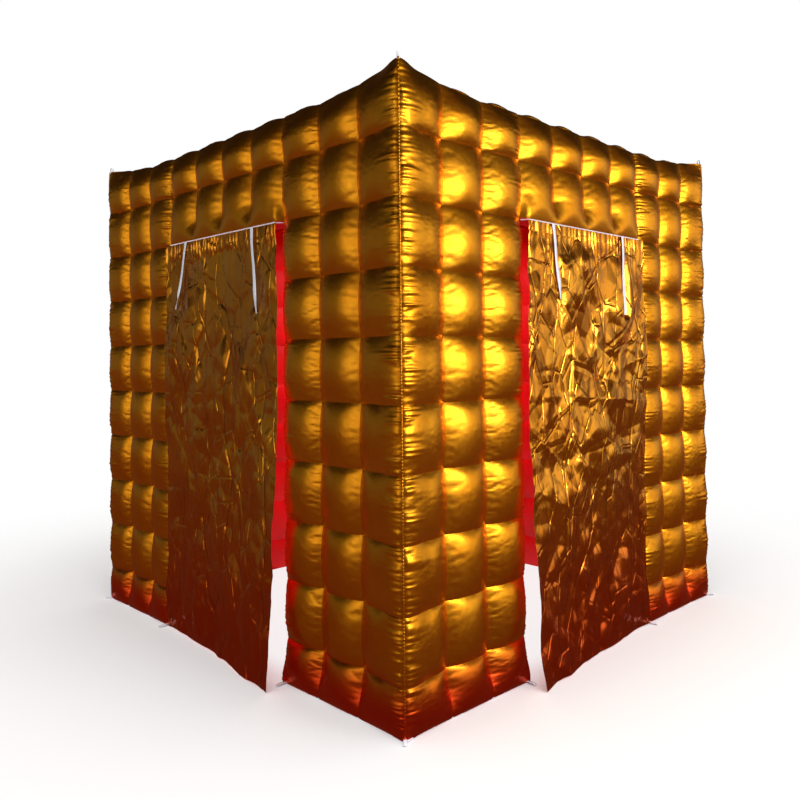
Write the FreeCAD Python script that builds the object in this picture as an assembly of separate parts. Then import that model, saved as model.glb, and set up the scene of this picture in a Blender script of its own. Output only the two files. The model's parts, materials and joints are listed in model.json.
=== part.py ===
"""Inflatable quilted photo booth: a 2.5 m cube of double-skinned fabric walls with two curtained doorways.

The origin is at the middle of the footprint on the floor, +Z up. The front wall faces -Y, the left wall
faces -X, and both have a doorway. Every wall is drawn once as if it were the front wall and then placed.
"""
import FreeCAD, Part
import math
import os

V = FreeCAD.Vector

# Overall sizes
SIDE = 2500.0          # outside of the inflated walls, crown to crown
HEIGHT = 2500.0        # floor to the crown of the roof
WALL = 200.0           # inflated wall thickness, crown to crown
CROWN = 20.0           # how far the quilt's crowns swell past the mean plane of a skin
SKIN = 1.0             # fabric thickness
CUT = 1.0              # how far a cutting shape runs past what it cuts
BITE = 1.0             # how far pieces of one solid run into each other

# Quilt grid
CELL_WIDE = 250.0      # column pitch
NEAR_COLUMN = 280.0    # column beside the near corner
COLUMN_SEAMS = 9
BOTTOM_ROW = 190.0     # height of the lowest row
CELL_TALL = 260.0      # row pitch
ROW_SEAMS = 9
TIE_MARGIN = 30.0      # air gap at each end of a row tie
AIR_HOLE_R = 30.0      # breathing holes in the column webs

# Doorways
PIER_COLUMNS = 2       # whole cells between the near column and the doorway
DOOR_COLUMNS = 4
DOOR_ROWS = 7          # whole rows from the lowest seam to the door head

# Curtains and their ribbons
FOIL = 1.0
CURTAIN_STANDOFF = 5.0     # gap from the skin to the curtain
NEAR_GAP = 40.0            # daylight left beside the near jamb
FAR_LAP = 15.0             # how far the curtain laps the far pier
FLOOR_GAP = 12.0
HEADING_TALL = 45.0
HEADING_THICK = 2.0
HEAD_GAP = 3.0             # seam allowance between the header tape and the heading band
HEM_TALL = 30.0
HEM_THICK = 2.0
RIBBON_WIDE = 22.0
RIBBON_THICK = 1.0
RIBBON_GAP = 1.5
RIBBON_OFFSET = 300.0      # either side of the doorway's centre line
RIBBON_LONG = 395.0
RIBBON_SHORT = 340.0

# Tapes and webbing loops
TAPE_WIDE = 25.0
TAPE_THICK = 1.5
LOOP_WIDE = 26.0
LOOP_THICK = 1.5
LOOP_EYE = 10.0            # clear height of the eye between the two legs
LOOP_REACH = 45.0
CORNER_LOOP_REACH = 55.0
TOP_LOOP_REACH = 45.0
JAMB_LOOP_INSET = 30.0     # centre of a jamb loop from the doorway's edge
LOOP_LIFT = 0.5            # a base loop lies this far above the floor

# Built-in blower, in the lowest full cell of the rear wall
BLOWER_COLUMN = 7          # cell that starts at this column seam
SCROLL_R = 100.0
SCROLL_DEEP = 84.0
SCROLL_WALL = 2.0
OUTLET_WIDE = 70.0
OUTLET_RISE = 115.0
PORT_R = 75.0
FLANGE_R = 112.0
FLANGE_THICK = 5.0
GRILLE_THICK = 3.0
GRILLE_RINGS = 4
GRILLE_BAR = 3.0
GRILLE_SPOKES = 6
IMPELLER_R = 68.0
IMPELLER_DEEP = 52.0
IMPELLER_CLEAR = 10.0
IMPELLER_PLATE = 2.0
BLADES = 20
BLADE_THICK = 1.6
BLADE_LONG = 20.0
HUB_R = 14.0
SHAFT_R = 4.0
SHAFT_CLEAR = 0.05
MOTOR_R = 45.0
MOTOR_DEEP = 58.0
SHAFT_SHORT = 10.0         # from the shaft's end to the motor's back
FLANGE_SCREWS = 6
SCREW_R = 3.5
SCREW_HEAD = 2.5

# Power panel below the blower's port
PANEL_WIDE = 130.0
PANEL_TALL = 56.0
PANEL_THICK = 4.0
PANEL_Z = 135.0            # centre height
INLET_WIDE = 30.0
INLET_TALL = 24.0
INLET_DEEP = 24.0
INLET_WALL = 3.0
PIN_R = 1.6
PIN_LONG = 14.0
PINS = ((-7.0, -2.0), (7.0, -2.0), (0.0, 4.0))     # pin centres, from the inlet's centre
ROCKER_WIDE = 14.0
ROCKER_TALL = 22.0
ROCKER_CLEAR = 0.6
ROCKER_SWEEP = 1.4         # the tips are drawn in by this much, so that they clear the bezel as they tip
ROCKER_PIVOT = 4.0         # depth of the rocker's pivot behind the panel's face
ROCKER_PROUD = 3.5         # raised end, in front of the panel's face
ROCKER_PRESSED = 1.0       # pressed end, behind the panel's face
ROCKER_FOOT = (4.0, 7.0)   # depth of the key's back behind its raised and its pressed end
ROCKER_TAPER = 2.0
TRUNNION_R = 1.2
TRUNNION_LONG = 1.2        # how far a trunnion runs into the bezel
BEZEL_RIM = 3.0
BEZEL_DEEP = 13.0
BEZEL_BACK = 1.5
PANEL_SPACING = 32.0       # inlet and rocker either side of the panel's centre

# Deflation zip on the rear wall
ZIP_LONG = 900.0
ZIP_Z = 95.0
ZIP_START = -900.0         # along the rear wall
ZIP_TAPE = 16.0
ZIP_TAPE_THICK = 1.2
COIL_WIDE = 6.0
COIL_THICK = 1.5
SLIDER_LONG = 18.0
SLIDER_WIDE = 13.0
SLIDER_THICK = 4.0
SLIDER_CLEAR = 0.4
STOP_LONG = 5.0
STOP_RIM = 1.0             # how far a stop stands proud of the coil all round
SLIDER_GAP = 1.0           # from the stop to the closed slider
LUG_LONG = 5.0
LUG_TALL = 3.5
PULL_LONG = 38.0
PULL_WIDE = 8.0
PULL_THICK = 1.6
PULL_PIN_R = 1.2
PULL_PIVOT = 1.8           # pin centre, in front of the slider's face
PULL_ARM_WIDE = 1.2
PULL_ARM_LONG = 6.0

# Lighting inside
LED_WIDE = 12.0
LED_THICK = 4.0
LED_DROP = 30.0            # from the ceiling to the strip
LED_SIDE_GAP = 60.0        # from the corner to the strip's end
CONTROLLER_Z = 1350.0
CONTROLLER_Y = 820.0
CONTROLLER_WIDE = 60.0
CONTROLLER_TALL = 100.0
CONTROLLER_DEEP = 22.0
CONTROLLER_WALL = 2.5
BUTTON_R = 9.0
BUTTON_TALL = 9.0
BUTTON_PROUD = 4.0
BUTTON_CLEAR = 0.5

# Derived planes, in the front wall's own frame: u along the wall, d inward from the crown plane
HALF = SIDE / 2
OUT = CROWN                        # outer face of the outer skin
IN = WALL - CROWN                  # room face of the inner skin
CHAMBER = (OUT + SKIN, IN - SKIN)  # air space between the skins
TOP = HEIGHT - CROWN               # top face of the roof skin
CEILING = HEIGHT - IN              # room face of the ceiling skin
SEAMS = [-HALF + NEAR_COLUMN + CELL_WIDE * i for i in range(COLUMN_SEAMS)]
ROWS = [BOTTOM_ROW + CELL_TALL * i for i in range(ROW_SEAMS)]
DOOR = (SEAMS[PIER_COLUMNS], SEAMS[PIER_COLUMNS + DOOR_COLUMNS])
DOOR_HEAD = ROWS[DOOR_ROWS]
OUTER_END = HALF - OUT             # outer faces of the skins, from the middle
INNER_END = HALF - IN
WALLS = ("front", "left", "rear", "right")
DOOR_WALLS = ("front", "left")


def box(u, d, z):
    """A box from three (low, high) pairs, with d counted inward from the front crown plane."""
    corner = V(u[0], d[0] - HALF, z[0])
    return Part.makeBox(u[1] - u[0], d[1] - d[0], z[1] - z[0], corner)


def disc(u, z, r, d):
    """A cylinder whose axis runs through the wall."""
    return Part.makeCylinder(r, d[1] - d[0], V(u, d[0] - HALF, z), V(0, 1, 0))


def ring(u, z, r_out, r_in, d):
    return disc(u, z, r_out, d).cut(disc(u, z, r_in, (d[0] - CUT, d[1] + CUT)))


def place(shape, wall):
    """Carry a shape drawn in the front wall to another wall."""
    if wall in ("left", "right"):
        shape = shape.mirror(V(0, 0, 0), V(1, -1, 0))
    if wall == "right":
        shape = shape.mirror(V(0, 0, 0), V(1, 0, 0))
    if wall == "rear":
        shape = shape.mirror(V(0, 0, 0), V(0, 1, 0))
    return shape


def save(node, shapes, wall="front"):
    """Write one node from a list of separate solids."""
    placed = [place(s, wall) for s in shapes]
    shape = placed[0] if len(placed) == 1 else Part.makeCompound(placed)
    shape.exportStep("parts/" + node + ".step")


def on_walls(make, walls):
    """The pieces that a function makes for each of several walls, in place."""
    return [place(shape, wall) for wall in walls for shape in make(wall)]


def doored(wall):
    return wall in DOOR_WALLS


def run_end(wall, plane, thickness):
    """Half length of a skin: front and rear run past the side walls' skins, which fit between them."""
    return plane if wall in ("front", "rear") else plane - thickness


# Skins

def panels(wall, half_length, d, z_top):
    """A wall's skin: one panel, or two piers and a header round a doorway."""
    if not doored(wall):
        return [box((-half_length, half_length), d, (0, z_top))]
    near = box((-half_length, DOOR[0]), d, (0, z_top))
    far = box((DOOR[1], half_length), d, (0, z_top))
    header = box(DOOR, d, (DOOR_HEAD, z_top))
    return [near, header, far]


def outer_skin(wall):
    made = panels(wall, run_end(wall, OUTER_END, SKIN), (OUT, OUT + SKIN), TOP)
    if wall == "rear":
        port = disc(blower_u(), blower_z(), PORT_R, (OUT - CUT, OUT + SKIN + CUT))
        for hole in [port, screw_holes((OUT, OUT + SKIN))] + panel_holes():
            made = [made[0].cut(hole)]
    return made


def inner_skin(wall):
    half = INNER_END if wall in ("front", "rear") else INNER_END + SKIN
    return panels(wall, half, (IN - SKIN, IN), CEILING)


def flat_skin(half, z):
    return [Part.makeBox(2 * half, 2 * half, SKIN, V(-half, -half, z))]


def door_reveal():
    """The fabric that closes the wall's thickness round a doorway."""
    near = box((DOOR[0] - SKIN, DOOR[0]), CHAMBER, (SKIN, DOOR_HEAD))
    far = box((DOOR[1], DOOR[1] + SKIN), CHAMBER, (SKIN, DOOR_HEAD))
    head = box((DOOR[0] - SKIN, DOOR[1] + SKIN), CHAMBER, (DOOR_HEAD, DOOR_HEAD + SKIN))
    return [near, far, head]


def base_panels():
    """Strips that close the chambers at the floor, with none across the doorways."""
    end = OUTER_END - SKIN
    side = INNER_END + SKIN
    made = []
    for span in ((-end, DOOR[0]), (DOOR[1], end)):
        made.append(box(span, CHAMBER, (0, SKIN)))
    for span in ((-side, DOOR[0]), (DOOR[1], side)):
        made.append(place(box(span, CHAMBER, (0, SKIN)), "left"))
    made.append(place(box((-end, end), CHAMBER, (0, SKIN)), "rear"))
    made.append(place(box((-side, side), CHAMBER, (0, SKIN)), "right"))
    return made


# Internal webs that hold the two skins together

def web_foot(wall, seam):
    """Lowest height of a column web, which stops above the head of a doorway."""
    if doored(wall) and DOOR[0] <= seam <= DOOR[1]:
        return DOOR_HEAD + SKIN
    return SKIN


def column_webs(wall):
    made = []
    for seam in SEAMS:
        low = web_foot(wall, seam)
        web = box((seam, seam + SKIN), CHAMBER, (low, CEILING))
        holes = [web_hole(seam, z) for z in hole_heights() if low + AIR_HOLE_R < z]
        made.append(web.cut(Part.makeCompound(holes)) if holes else web)
    return made


def hole_heights():
    mids = [z - CELL_TALL / 2 for z in ROWS[1:]]
    return [z for z in mids if z < CEILING - AIR_HOLE_R]


def web_hole(seam, z):
    mid = (CHAMBER[0] + CHAMBER[1]) / 2 - HALF
    return Part.makeCylinder(AIR_HOLE_R, 3 * SKIN, V(seam - SKIN, mid, z), V(1, 0, 0))


def cells(wall_half):
    """The (low, high) spans between neighbouring column webs along a wall."""
    edges = [-wall_half] + SEAMS + [wall_half]
    return list(zip(edges[:-1], edges[1:]))


def row_ties(wall):
    """Short strips at each row seam, which leave an air gap beside the column webs."""
    half = OUTER_END - SKIN if wall in ("front", "rear") else INNER_END + SKIN
    made = []
    for z in ROWS:
        if z > CEILING - TIE_MARGIN:
            continue
        for low, high in cells(half):
            if high - low < 3 * TIE_MARGIN:
                continue
            over_door = doored(wall) and low >= DOOR[0] and high <= DOOR[1]
            if over_door and z <= DOOR_HEAD + TIE_MARGIN:
                continue
            made.append(box((low + TIE_MARGIN, high - TIE_MARGIN), CHAMBER, (z, z + SKIN)))
    return made


def roof_webs():
    """Webs across the roof's air space, from front to rear."""
    end = OUTER_END - SKIN
    low = CEILING + SKIN
    high = TOP - SKIN
    made = []
    for seam in SEAMS:
        web = Part.makeBox(SKIN, 2 * end, high - low, V(seam, -end, low))
        holes = [roof_hole(seam, y, (low + high) / 2) for y in SEAMS]
        made.append(web.cut(Part.makeCompound(holes)))
    return made


def roof_hole(seam, y, z):
    return Part.makeCylinder(AIR_HOLE_R, 3 * SKIN, V(seam - SKIN, y + CELL_WIDE / 2, z), V(1, 0, 0))


def roof_ties():
    low = CEILING + SKIN
    high = TOP - SKIN
    made = []
    for y in SEAMS:
        for a, b in cells(OUTER_END):
            wide = b - a - 2 * TIE_MARGIN
            made.append(Part.makeBox(wide, SKIN, high - low, V(a + TIE_MARGIN, y, low)))
    return made


# Tapes, bindings and loops

def angle_tape(points, run):
    """An L-section tape: its outline swept along its length."""
    return Part.Face(Part.makePolygon(points)).extrude(run)


def angle_outline():
    """Corner section as (a, b), with both legs along the faces and the outside at negative a and b."""
    t = TAPE_THICK
    leg = TAPE_WIDE
    return [(-t, -t), (leg, -t), (leg, 0), (0, 0), (0, leg), (-t, leg), (-t, -t)]


def four_turns(shape):
    made = []
    for turn in range(4):
        copy = shape.copy()
        copy.rotate(V(0, 0, 0), V(0, 0, 1), 90 * turn)
        made.append(copy)
    return made


def corner_tapes():
    points = [V(a - OUTER_END, b - OUTER_END, TAPE_WIDE) for a, b in angle_outline()]
    return four_turns(angle_tape(points, V(0, 0, TOP - 2 * TAPE_WIDE)))


def roof_edge_tapes():
    half = OUTER_END - TAPE_WIDE - LOOP_WIDE
    points = [V(-half, a - OUTER_END, TOP - b) for a, b in angle_outline()]
    return four_turns(angle_tape(points, V(2 * half, 0, 0)))


def base_binding():
    """Binding sewn round the foot of the outer skins, broken at the corners and doorways."""
    end = OUTER_END - TAPE_WIDE
    d = (OUT - TAPE_THICK, OUT)
    z = (0, TAPE_WIDE)
    made = []
    for wall in WALLS:
        spans = [(-end, end)]
        if doored(wall):
            spans = [(-end, DOOR[0]), (DOOR[1], end)]
        made += [place(box(span, d, z), wall) for span in spans]
    return made


def header_tape(wall):
    """Seam tape along the lower edge of a door header, which the curtain is sewn to."""
    span = (DOOR[0] - FAR_LAP, DOOR[1] + FAR_LAP)
    return [box(span, (OUT - TAPE_THICK, OUT), (DOOR_HEAD, DOOR_HEAD + TAPE_WIDE))]


def loop(reach):
    """A loop of webbing that reaches along -Y from the origin: two legs and the fold between them."""
    w = LOOP_WIDE
    t = LOOP_THICK
    lower = Part.makeBox(w, reach - t, t, V(-w / 2, -reach + t, 0))
    upper = Part.makeBox(w, reach - t, t, V(-w / 2, -reach + t, t + LOOP_EYE))
    fold = Part.makeBox(w, t, 2 * t + LOOP_EYE, V(-w / 2, -reach, 0))
    return [lower, upper, fold]


def moved(shapes, spin, shift):
    made = []
    for shape in shapes:
        copy = shape.copy()
        copy.rotate(V(0, 0, 0), V(0, 0, 1), spin)
        copy.translate(shift)
        made.append(copy)
    return made


def base_corner_loops():
    made = []
    stand = OUTER_END + TAPE_THICK
    for turn in range(4):
        spin = 90 * turn - 45
        legs = moved(loop(CORNER_LOOP_REACH), 0, V(0, -math.sqrt(2) * stand - LOOP_WIDE / 2, LOOP_LIFT))
        made += moved(legs, spin, V(0, 0, 0))
    return made


def jamb_loops(wall):
    made = []
    for u in (DOOR[0] - JAMB_LOOP_INSET, DOOR[1] + JAMB_LOOP_INSET):
        made += moved(loop(LOOP_REACH), 0, V(u, -OUTER_END - TAPE_THICK, LOOP_LIFT))
    return made


def top_loops():
    """Loops that stand on the roof's corners, with their eyes open along X."""
    upright = []
    for shape in loop(TOP_LOOP_REACH):
        copy = shape.copy()
        copy.rotate(V(0, 0, 0), V(1, 0, 0), -90)
        upright.append(copy)
    thick = 2 * LOOP_THICK + LOOP_EYE
    inset = OUTER_END - LOOP_WIDE
    made = []
    for x in (-inset, inset):
        for y in (-inset, inset):
            made += moved(upright, 0, V(x, y - thick / 2, TOP))
    return made


# Curtains, drawn in the front doorway

CURTAIN = (DOOR[0] + NEAR_GAP, DOOR[1] + FAR_LAP)
CURTAIN_TOP = DOOR_HEAD - HEAD_GAP
HEADING_FOOT = CURTAIN_TOP - HEADING_TALL
FOIL_D = (OUT - CURTAIN_STANDOFF - FOIL, OUT - CURTAIN_STANDOFF)


def thickened(d, extra):
    """A depth span widened evenly to a new thickness."""
    grow = (extra - (d[1] - d[0])) / 2
    return (d[0] - grow, d[1] + grow)


def curtain_heading():
    return [box(CURTAIN, thickened(FOIL_D, HEADING_THICK), (HEADING_FOOT, CURTAIN_TOP))]


def curtain_foil():
    return [box(CURTAIN, FOIL_D, (FLOOR_GAP + HEM_TALL, HEADING_FOOT))]


def curtain_hem():
    return [box(CURTAIN, thickened(FOIL_D, HEM_THICK), (FLOOR_GAP, FLOOR_GAP + HEM_TALL))]


def outer_ribbon(side, length):
    """A tie ribbon that hangs in front of the curtain."""
    mid = (DOOR[0] + DOOR[1]) / 2 + side * RIBBON_OFFSET
    back = thickened(FOIL_D, HEADING_THICK)[0] - RIBBON_GAP
    span = (mid - RIBBON_WIDE / 2, mid + RIBBON_WIDE / 2)
    return [box(span, (back - RIBBON_THICK, back), (CURTAIN_TOP - length, CURTAIN_TOP))]


def inner_ribbon(side):
    """Its partner, which hangs from the header behind the curtain."""
    mid = (DOOR[0] + DOOR[1]) / 2 + side * RIBBON_OFFSET
    span = (mid - RIBBON_WIDE / 2, mid + RIBBON_WIDE / 2)
    front = OUT + SKIN + RIBBON_GAP
    return [box(span, (front, front + RIBBON_THICK), (CURTAIN_TOP - RIBBON_LONG, CURTAIN_TOP))]


# Blower, drawn in the front wall and placed in the rear wall

def blower_u():
    return SEAMS[BLOWER_COLUMN] + CELL_WIDE / 2


def blower_z():
    return ROWS[0] + CELL_TALL / 2


SCROLL_D = (CHAMBER[0], CHAMBER[0] + SCROLL_DEEP)
IMPELLER_D = (SCROLL_D[0] + IMPELLER_CLEAR, SCROLL_D[0] + IMPELLER_CLEAR + IMPELLER_DEEP)
MOTOR_D = (SCROLL_D[1], SCROLL_D[1] + MOTOR_DEEP)
SHAFT_END = MOTOR_D[1] - SHAFT_SHORT


def blower_scroll():
    """Round fan casing with an upward outlet, open to the port in the skin."""
    u = blower_u()
    z = blower_z()
    r = SCROLL_R
    t = SCROLL_WALL
    outlet_u = (u + r - OUTLET_WIDE, u + r)
    outlet_z = (z, z + OUTLET_RISE)
    body = disc(u, z, r, SCROLL_D).fuse(box(outlet_u, SCROLL_D, outlet_z)).removeSplitter()
    inner_d = (SCROLL_D[0] + t, SCROLL_D[1] - t)
    hollow = disc(u, z, r - t, inner_d)
    throat = box((outlet_u[0] + t, outlet_u[1] - t), inner_d, (z, z + OUTLET_RISE + CUT))
    body = body.cut(hollow.fuse(throat))
    body = body.cut(disc(u, z, PORT_R, (SCROLL_D[0] - CUT, inner_d[0] + CUT)))
    body = body.cut(screw_holes((SCROLL_D[0], inner_d[0])))
    return [body.cut(disc(u, z, SHAFT_R + SHAFT_CLEAR, (inner_d[1] - CUT, SCROLL_D[1] + CUT)))]


def blower_flange():
    d = (OUT - FLANGE_THICK, OUT)
    made = ring(blower_u(), blower_z(), FLANGE_R, PORT_R, d)
    return [made.cut(screw_holes(d))]


def screw_circle():
    """Centres of the flange's screws, as (u, z)."""
    r = (PORT_R + FLANGE_R) / 2
    turn = 2 * math.pi / FLANGE_SCREWS
    return [(blower_u() + r * math.cos(i * turn), blower_z() + r * math.sin(i * turn))
            for i in range(FLANGE_SCREWS)]


def screw_holes(d):
    return Part.makeCompound([disc(u, z, SCREW_R / 2, (d[0] - CUT, d[1] + CUT)) for u, z in screw_circle()])


def flange_screws():
    made = []
    for u, z in screw_circle():
        head = disc(u, z, SCREW_R, (OUT - FLANGE_THICK - SCREW_HEAD, OUT - FLANGE_THICK))
        shank = disc(u, z, SCREW_R / 2, (OUT - FLANGE_THICK, SCROLL_D[0] + SCROLL_WALL))
        made.append(head.fuse(shank))
    return made


def intake_grille():
    """Finger guard of concentric rings and spokes, set into the flange's bore."""
    u = blower_u()
    z = blower_z()
    d = (OUT - FLANGE_THICK, OUT - FLANGE_THICK + GRILLE_THICK)
    pitch = (PORT_R - GRILLE_BAR) / GRILLE_RINGS
    made = ring(u, z, PORT_R, PORT_R - GRILLE_BAR, d)
    for i in range(1, GRILLE_RINGS):
        made = made.fuse(ring(u, z, pitch * i + GRILLE_BAR, pitch * i, d))
    made = made.fuse(disc(u, z, HUB_R, d))
    for i in range(GRILLE_SPOKES):
        spoke = box((HUB_R - BITE, PORT_R - BITE), d, (-GRILLE_BAR / 2, GRILLE_BAR / 2))
        spoke.rotate(V(0, 0, 0), V(0, 1, 0), 360.0 * i / GRILLE_SPOKES)
        spoke.translate(V(u, 0, z))
        made = made.fuse(spoke)
    return [made.removeSplitter()]


def impeller():
    """Squirrel-cage fan wheel: back disc, hub, curved ring of blades and front ring."""
    u = blower_u()
    z = blower_z()
    front = (IMPELLER_D[0], IMPELLER_D[0] + IMPELLER_PLATE)
    back = (IMPELLER_D[1] - IMPELLER_PLATE, IMPELLER_D[1])
    made = disc(u, z, IMPELLER_R, back).fuse(disc(u, z, HUB_R, IMPELLER_D))
    made = made.fuse(ring(u, z, IMPELLER_R, IMPELLER_R - BLADE_LONG / 2, front))
    for i in range(BLADES):
        blade = box((IMPELLER_R - BLADE_LONG, IMPELLER_R - BITE), IMPELLER_D, (0, BLADE_THICK))
        blade.rotate(V(0, 0, 0), V(0, 1, 0), 360.0 * i / BLADES)
        blade.translate(V(u, 0, z))
        made = made.fuse(blade)
    return [made.cut(disc(u, z, SHAFT_R, (IMPELLER_D[0] - CUT, IMPELLER_D[1] + CUT)))]


def impeller_shaft():
    return [disc(blower_u(), blower_z(), SHAFT_R, (IMPELLER_D[0], SHAFT_END))]


def blower_motor():
    u = blower_u()
    z = blower_z()
    can = disc(u, z, MOTOR_R, MOTOR_D)
    return [can.cut(disc(u, z, SHAFT_R + SHAFT_CLEAR, (MOTOR_D[0] - CUT, SHAFT_END + SHAFT_CLEAR)))]


# Power panel

PANEL_D = (OUT - PANEL_THICK, OUT)


def inlet_u():
    return blower_u() - PANEL_SPACING


def rocker_u():
    return blower_u() + PANEL_SPACING


def centred(mid, size):
    return (mid - size / 2, mid + size / 2)


def inlet_hole():
    return box(centred(inlet_u(), INLET_WIDE), (0, WALL), centred(PANEL_Z, INLET_TALL))


def bezel_hole():
    wide = ROCKER_WIDE + 2 * ROCKER_CLEAR
    tall = ROCKER_TALL + 2 * ROCKER_CLEAR
    return box(centred(rocker_u(), wide + 2 * BEZEL_RIM), (0, WALL), centred(PANEL_Z, tall + 2 * BEZEL_RIM))


def panel_holes():
    return [inlet_hole(), bezel_hole()]


def power_panel():
    plate = box(centred(blower_u(), PANEL_WIDE), PANEL_D, centred(PANEL_Z, PANEL_TALL))
    for hole in panel_holes():
        plate = plate.cut(hole)
    return [plate]


def power_inlet():
    """Recessed three-pin appliance inlet."""
    d = (PANEL_D[0], PANEL_D[0] + INLET_DEEP)
    u = inlet_u()
    shell = box(centred(u, INLET_WIDE), d, centred(PANEL_Z, INLET_TALL))
    recess = box(centred(u, INLET_WIDE - 2 * INLET_WALL), (d[0] - CUT, d[1] - INLET_WALL),
                 centred(PANEL_Z, INLET_TALL - 2 * INLET_WALL))
    return [shell.cut(recess)]


def inlet_pins():
    floor = PANEL_D[0] + INLET_DEEP - INLET_WALL
    made = []
    for du, dz in PINS:
        made.append(disc(inlet_u() + du, PANEL_Z + dz, PIN_R, (floor - PIN_LONG, floor)))
    return made


def switch_bezel():
    """Frame round the rocker, with a closed back."""
    wide = ROCKER_WIDE + 2 * ROCKER_CLEAR
    tall = ROCKER_TALL + 2 * ROCKER_CLEAR
    d = (PANEL_D[0], PANEL_D[0] + BEZEL_DEEP)
    u = rocker_u()
    frame = box(centred(u, wide + 2 * BEZEL_RIM), d, centred(PANEL_Z, tall + 2 * BEZEL_RIM))
    well = box(centred(u, wide), (d[0] - CUT, d[1] - BEZEL_BACK), centred(PANEL_Z, tall))
    return [frame.cut(well).cut(trunnions(TRUNNION_R + SHAFT_CLEAR, TRUNNION_LONG + ROCKER_CLEAR))]


def trunnions(radius, reach):
    """Pivot pin through the rocker, into the bezel's sides by the given reach past the well."""
    length = ROCKER_WIDE + 2 * ROCKER_CLEAR + 2 * reach
    start = V(rocker_u() - length / 2, PANEL_D[0] + ROCKER_PIVOT - HALF, PANEL_Z)
    return Part.makeCylinder(radius, length, start, V(1, 0, 0))


def rocker():
    """Rocker key, pressed at its top at rest, that tips about its middle."""
    face = PANEL_D[0]
    half = ROCKER_TALL / 2 - ROCKER_CLEAR - ROCKER_SWEEP
    foot = half - ROCKER_TAPER
    outline = [(half, ROCKER_PRESSED), (0, 0), (-half, -ROCKER_PROUD),
               (-foot, ROCKER_FOOT[0]), (foot, ROCKER_FOOT[1]), (half, ROCKER_PRESSED)]
    points = [V(rocker_u() - ROCKER_WIDE / 2, face + d - HALF, PANEL_Z + z) for z, d in outline]
    key = Part.Face(Part.makePolygon(points)).extrude(V(ROCKER_WIDE, 0, 0))
    return [key.fuse(trunnions(TRUNNION_R, TRUNNION_LONG)).removeSplitter()]


# Deflation zip

def zip_tapes():
    span = (ZIP_START, ZIP_START + ZIP_LONG)
    d = (OUT - ZIP_TAPE_THICK, OUT)
    return [box(span, d, (ZIP_Z, ZIP_Z + ZIP_TAPE)), box(span, d, (ZIP_Z - ZIP_TAPE, ZIP_Z))]


def zip_coil():
    d = (OUT - ZIP_TAPE_THICK - COIL_THICK, OUT - ZIP_TAPE_THICK)
    return [box((ZIP_START + STOP_LONG, ZIP_START + ZIP_LONG - STOP_LONG), d, centred(ZIP_Z, COIL_WIDE))]


def zip_stops():
    d = (OUT - ZIP_TAPE_THICK - COIL_THICK - STOP_RIM, OUT - ZIP_TAPE_THICK)
    ends = (ZIP_START, ZIP_START + ZIP_LONG - STOP_LONG)
    return [box((u, u + STOP_LONG), d, centred(ZIP_Z, COIL_WIDE + 2 * STOP_RIM)) for u in ends]


SLIDER_START = ZIP_START + STOP_LONG + SLIDER_GAP
SLIDER_U = (SLIDER_START, SLIDER_START + SLIDER_LONG)
SLIDER_BACK = OUT - ZIP_TAPE_THICK - COIL_THICK - SLIDER_CLEAR


def zip_slider():
    """Slider body with a lug that holds the pull's pin."""
    mid = (SLIDER_U[0] + SLIDER_U[1]) / 2
    body = box(SLIDER_U, (SLIDER_BACK - SLIDER_THICK, SLIDER_BACK), centred(ZIP_Z, SLIDER_WIDE))
    face = SLIDER_BACK - SLIDER_THICK
    lug = box(centred(mid, LUG_LONG), (face - LUG_TALL, face), centred(ZIP_Z, 3 * PULL_PIN_R))
    start = pull_pivot() - V(LUG_LONG / 2 + CUT, 0, 0)
    eye = Part.makeCylinder(PULL_PIN_R + SHAFT_CLEAR, LUG_LONG + 2 * CUT, start, V(1, 0, 0))
    return [body.fuse(lug).cut(eye).removeSplitter()]


def pull_pivot():
    mid = (SLIDER_U[0] + SLIDER_U[1]) / 2
    return V(mid, SLIDER_BACK - SLIDER_THICK - PULL_PIVOT - HALF, ZIP_Z)


def zip_pull():
    """Flat pull tab that hangs from its pin."""
    pivot = pull_pivot()
    pin = Part.makeCylinder(PULL_PIN_R, PULL_WIDE, pivot - V(PULL_WIDE / 2, 0, 0), V(1, 0, 0))
    back = pivot.y - PULL_THICK / 2
    arms = []
    for x in (pivot.x - PULL_WIDE / 2, pivot.x + PULL_WIDE / 2 - PULL_ARM_WIDE):
        arm_corner = V(x, back, pivot.z - PULL_ARM_LONG)
        arms.append(Part.makeBox(PULL_ARM_WIDE, PULL_THICK, PULL_ARM_LONG, arm_corner))
    tab_corner = V(pivot.x - PULL_WIDE / 2, back, pivot.z - PULL_LONG)
    tab = Part.makeBox(PULL_WIDE, PULL_THICK, PULL_LONG - PULL_ARM_LONG, tab_corner)
    return [pin.fuse(arms + [tab]).removeSplitter()]


# Lighting

def led_strips():
    """Light strips round the room, just under the ceiling."""
    z = (CEILING - LED_DROP - LED_WIDE, CEILING - LED_DROP)
    half = INNER_END - LED_SIDE_GAP
    strip = box((-half, half), (IN, IN + LED_THICK), z)
    return [place(strip, wall) for wall in WALLS]


CONTROLLER_D = (IN, IN + CONTROLLER_DEEP)


def controller_box():
    """Small light controller fixed to the right wall's room face."""
    u = centred(CONTROLLER_Y, CONTROLLER_WIDE)
    z = centred(CONTROLLER_Z, CONTROLLER_TALL)
    t = CONTROLLER_WALL
    shell = box(u, CONTROLLER_D, z)
    hollow = box((u[0] + t, u[1] - t), (IN + t, CONTROLLER_D[1] - t), (z[0] + t, z[1] - t))
    face = (CONTROLLER_D[1] - t - CUT, CONTROLLER_D[1] + CUT)
    hole = disc(CONTROLLER_Y, CONTROLLER_Z, BUTTON_R + BUTTON_CLEAR, face)
    return [shell.cut(hollow).cut(hole)]


def controller_button():
    d = (CONTROLLER_D[1] + BUTTON_PROUD - BUTTON_TALL, CONTROLLER_D[1] + BUTTON_PROUD)
    return [disc(CONTROLLER_Y, CONTROLLER_Z, BUTTON_R, d)]


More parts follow.
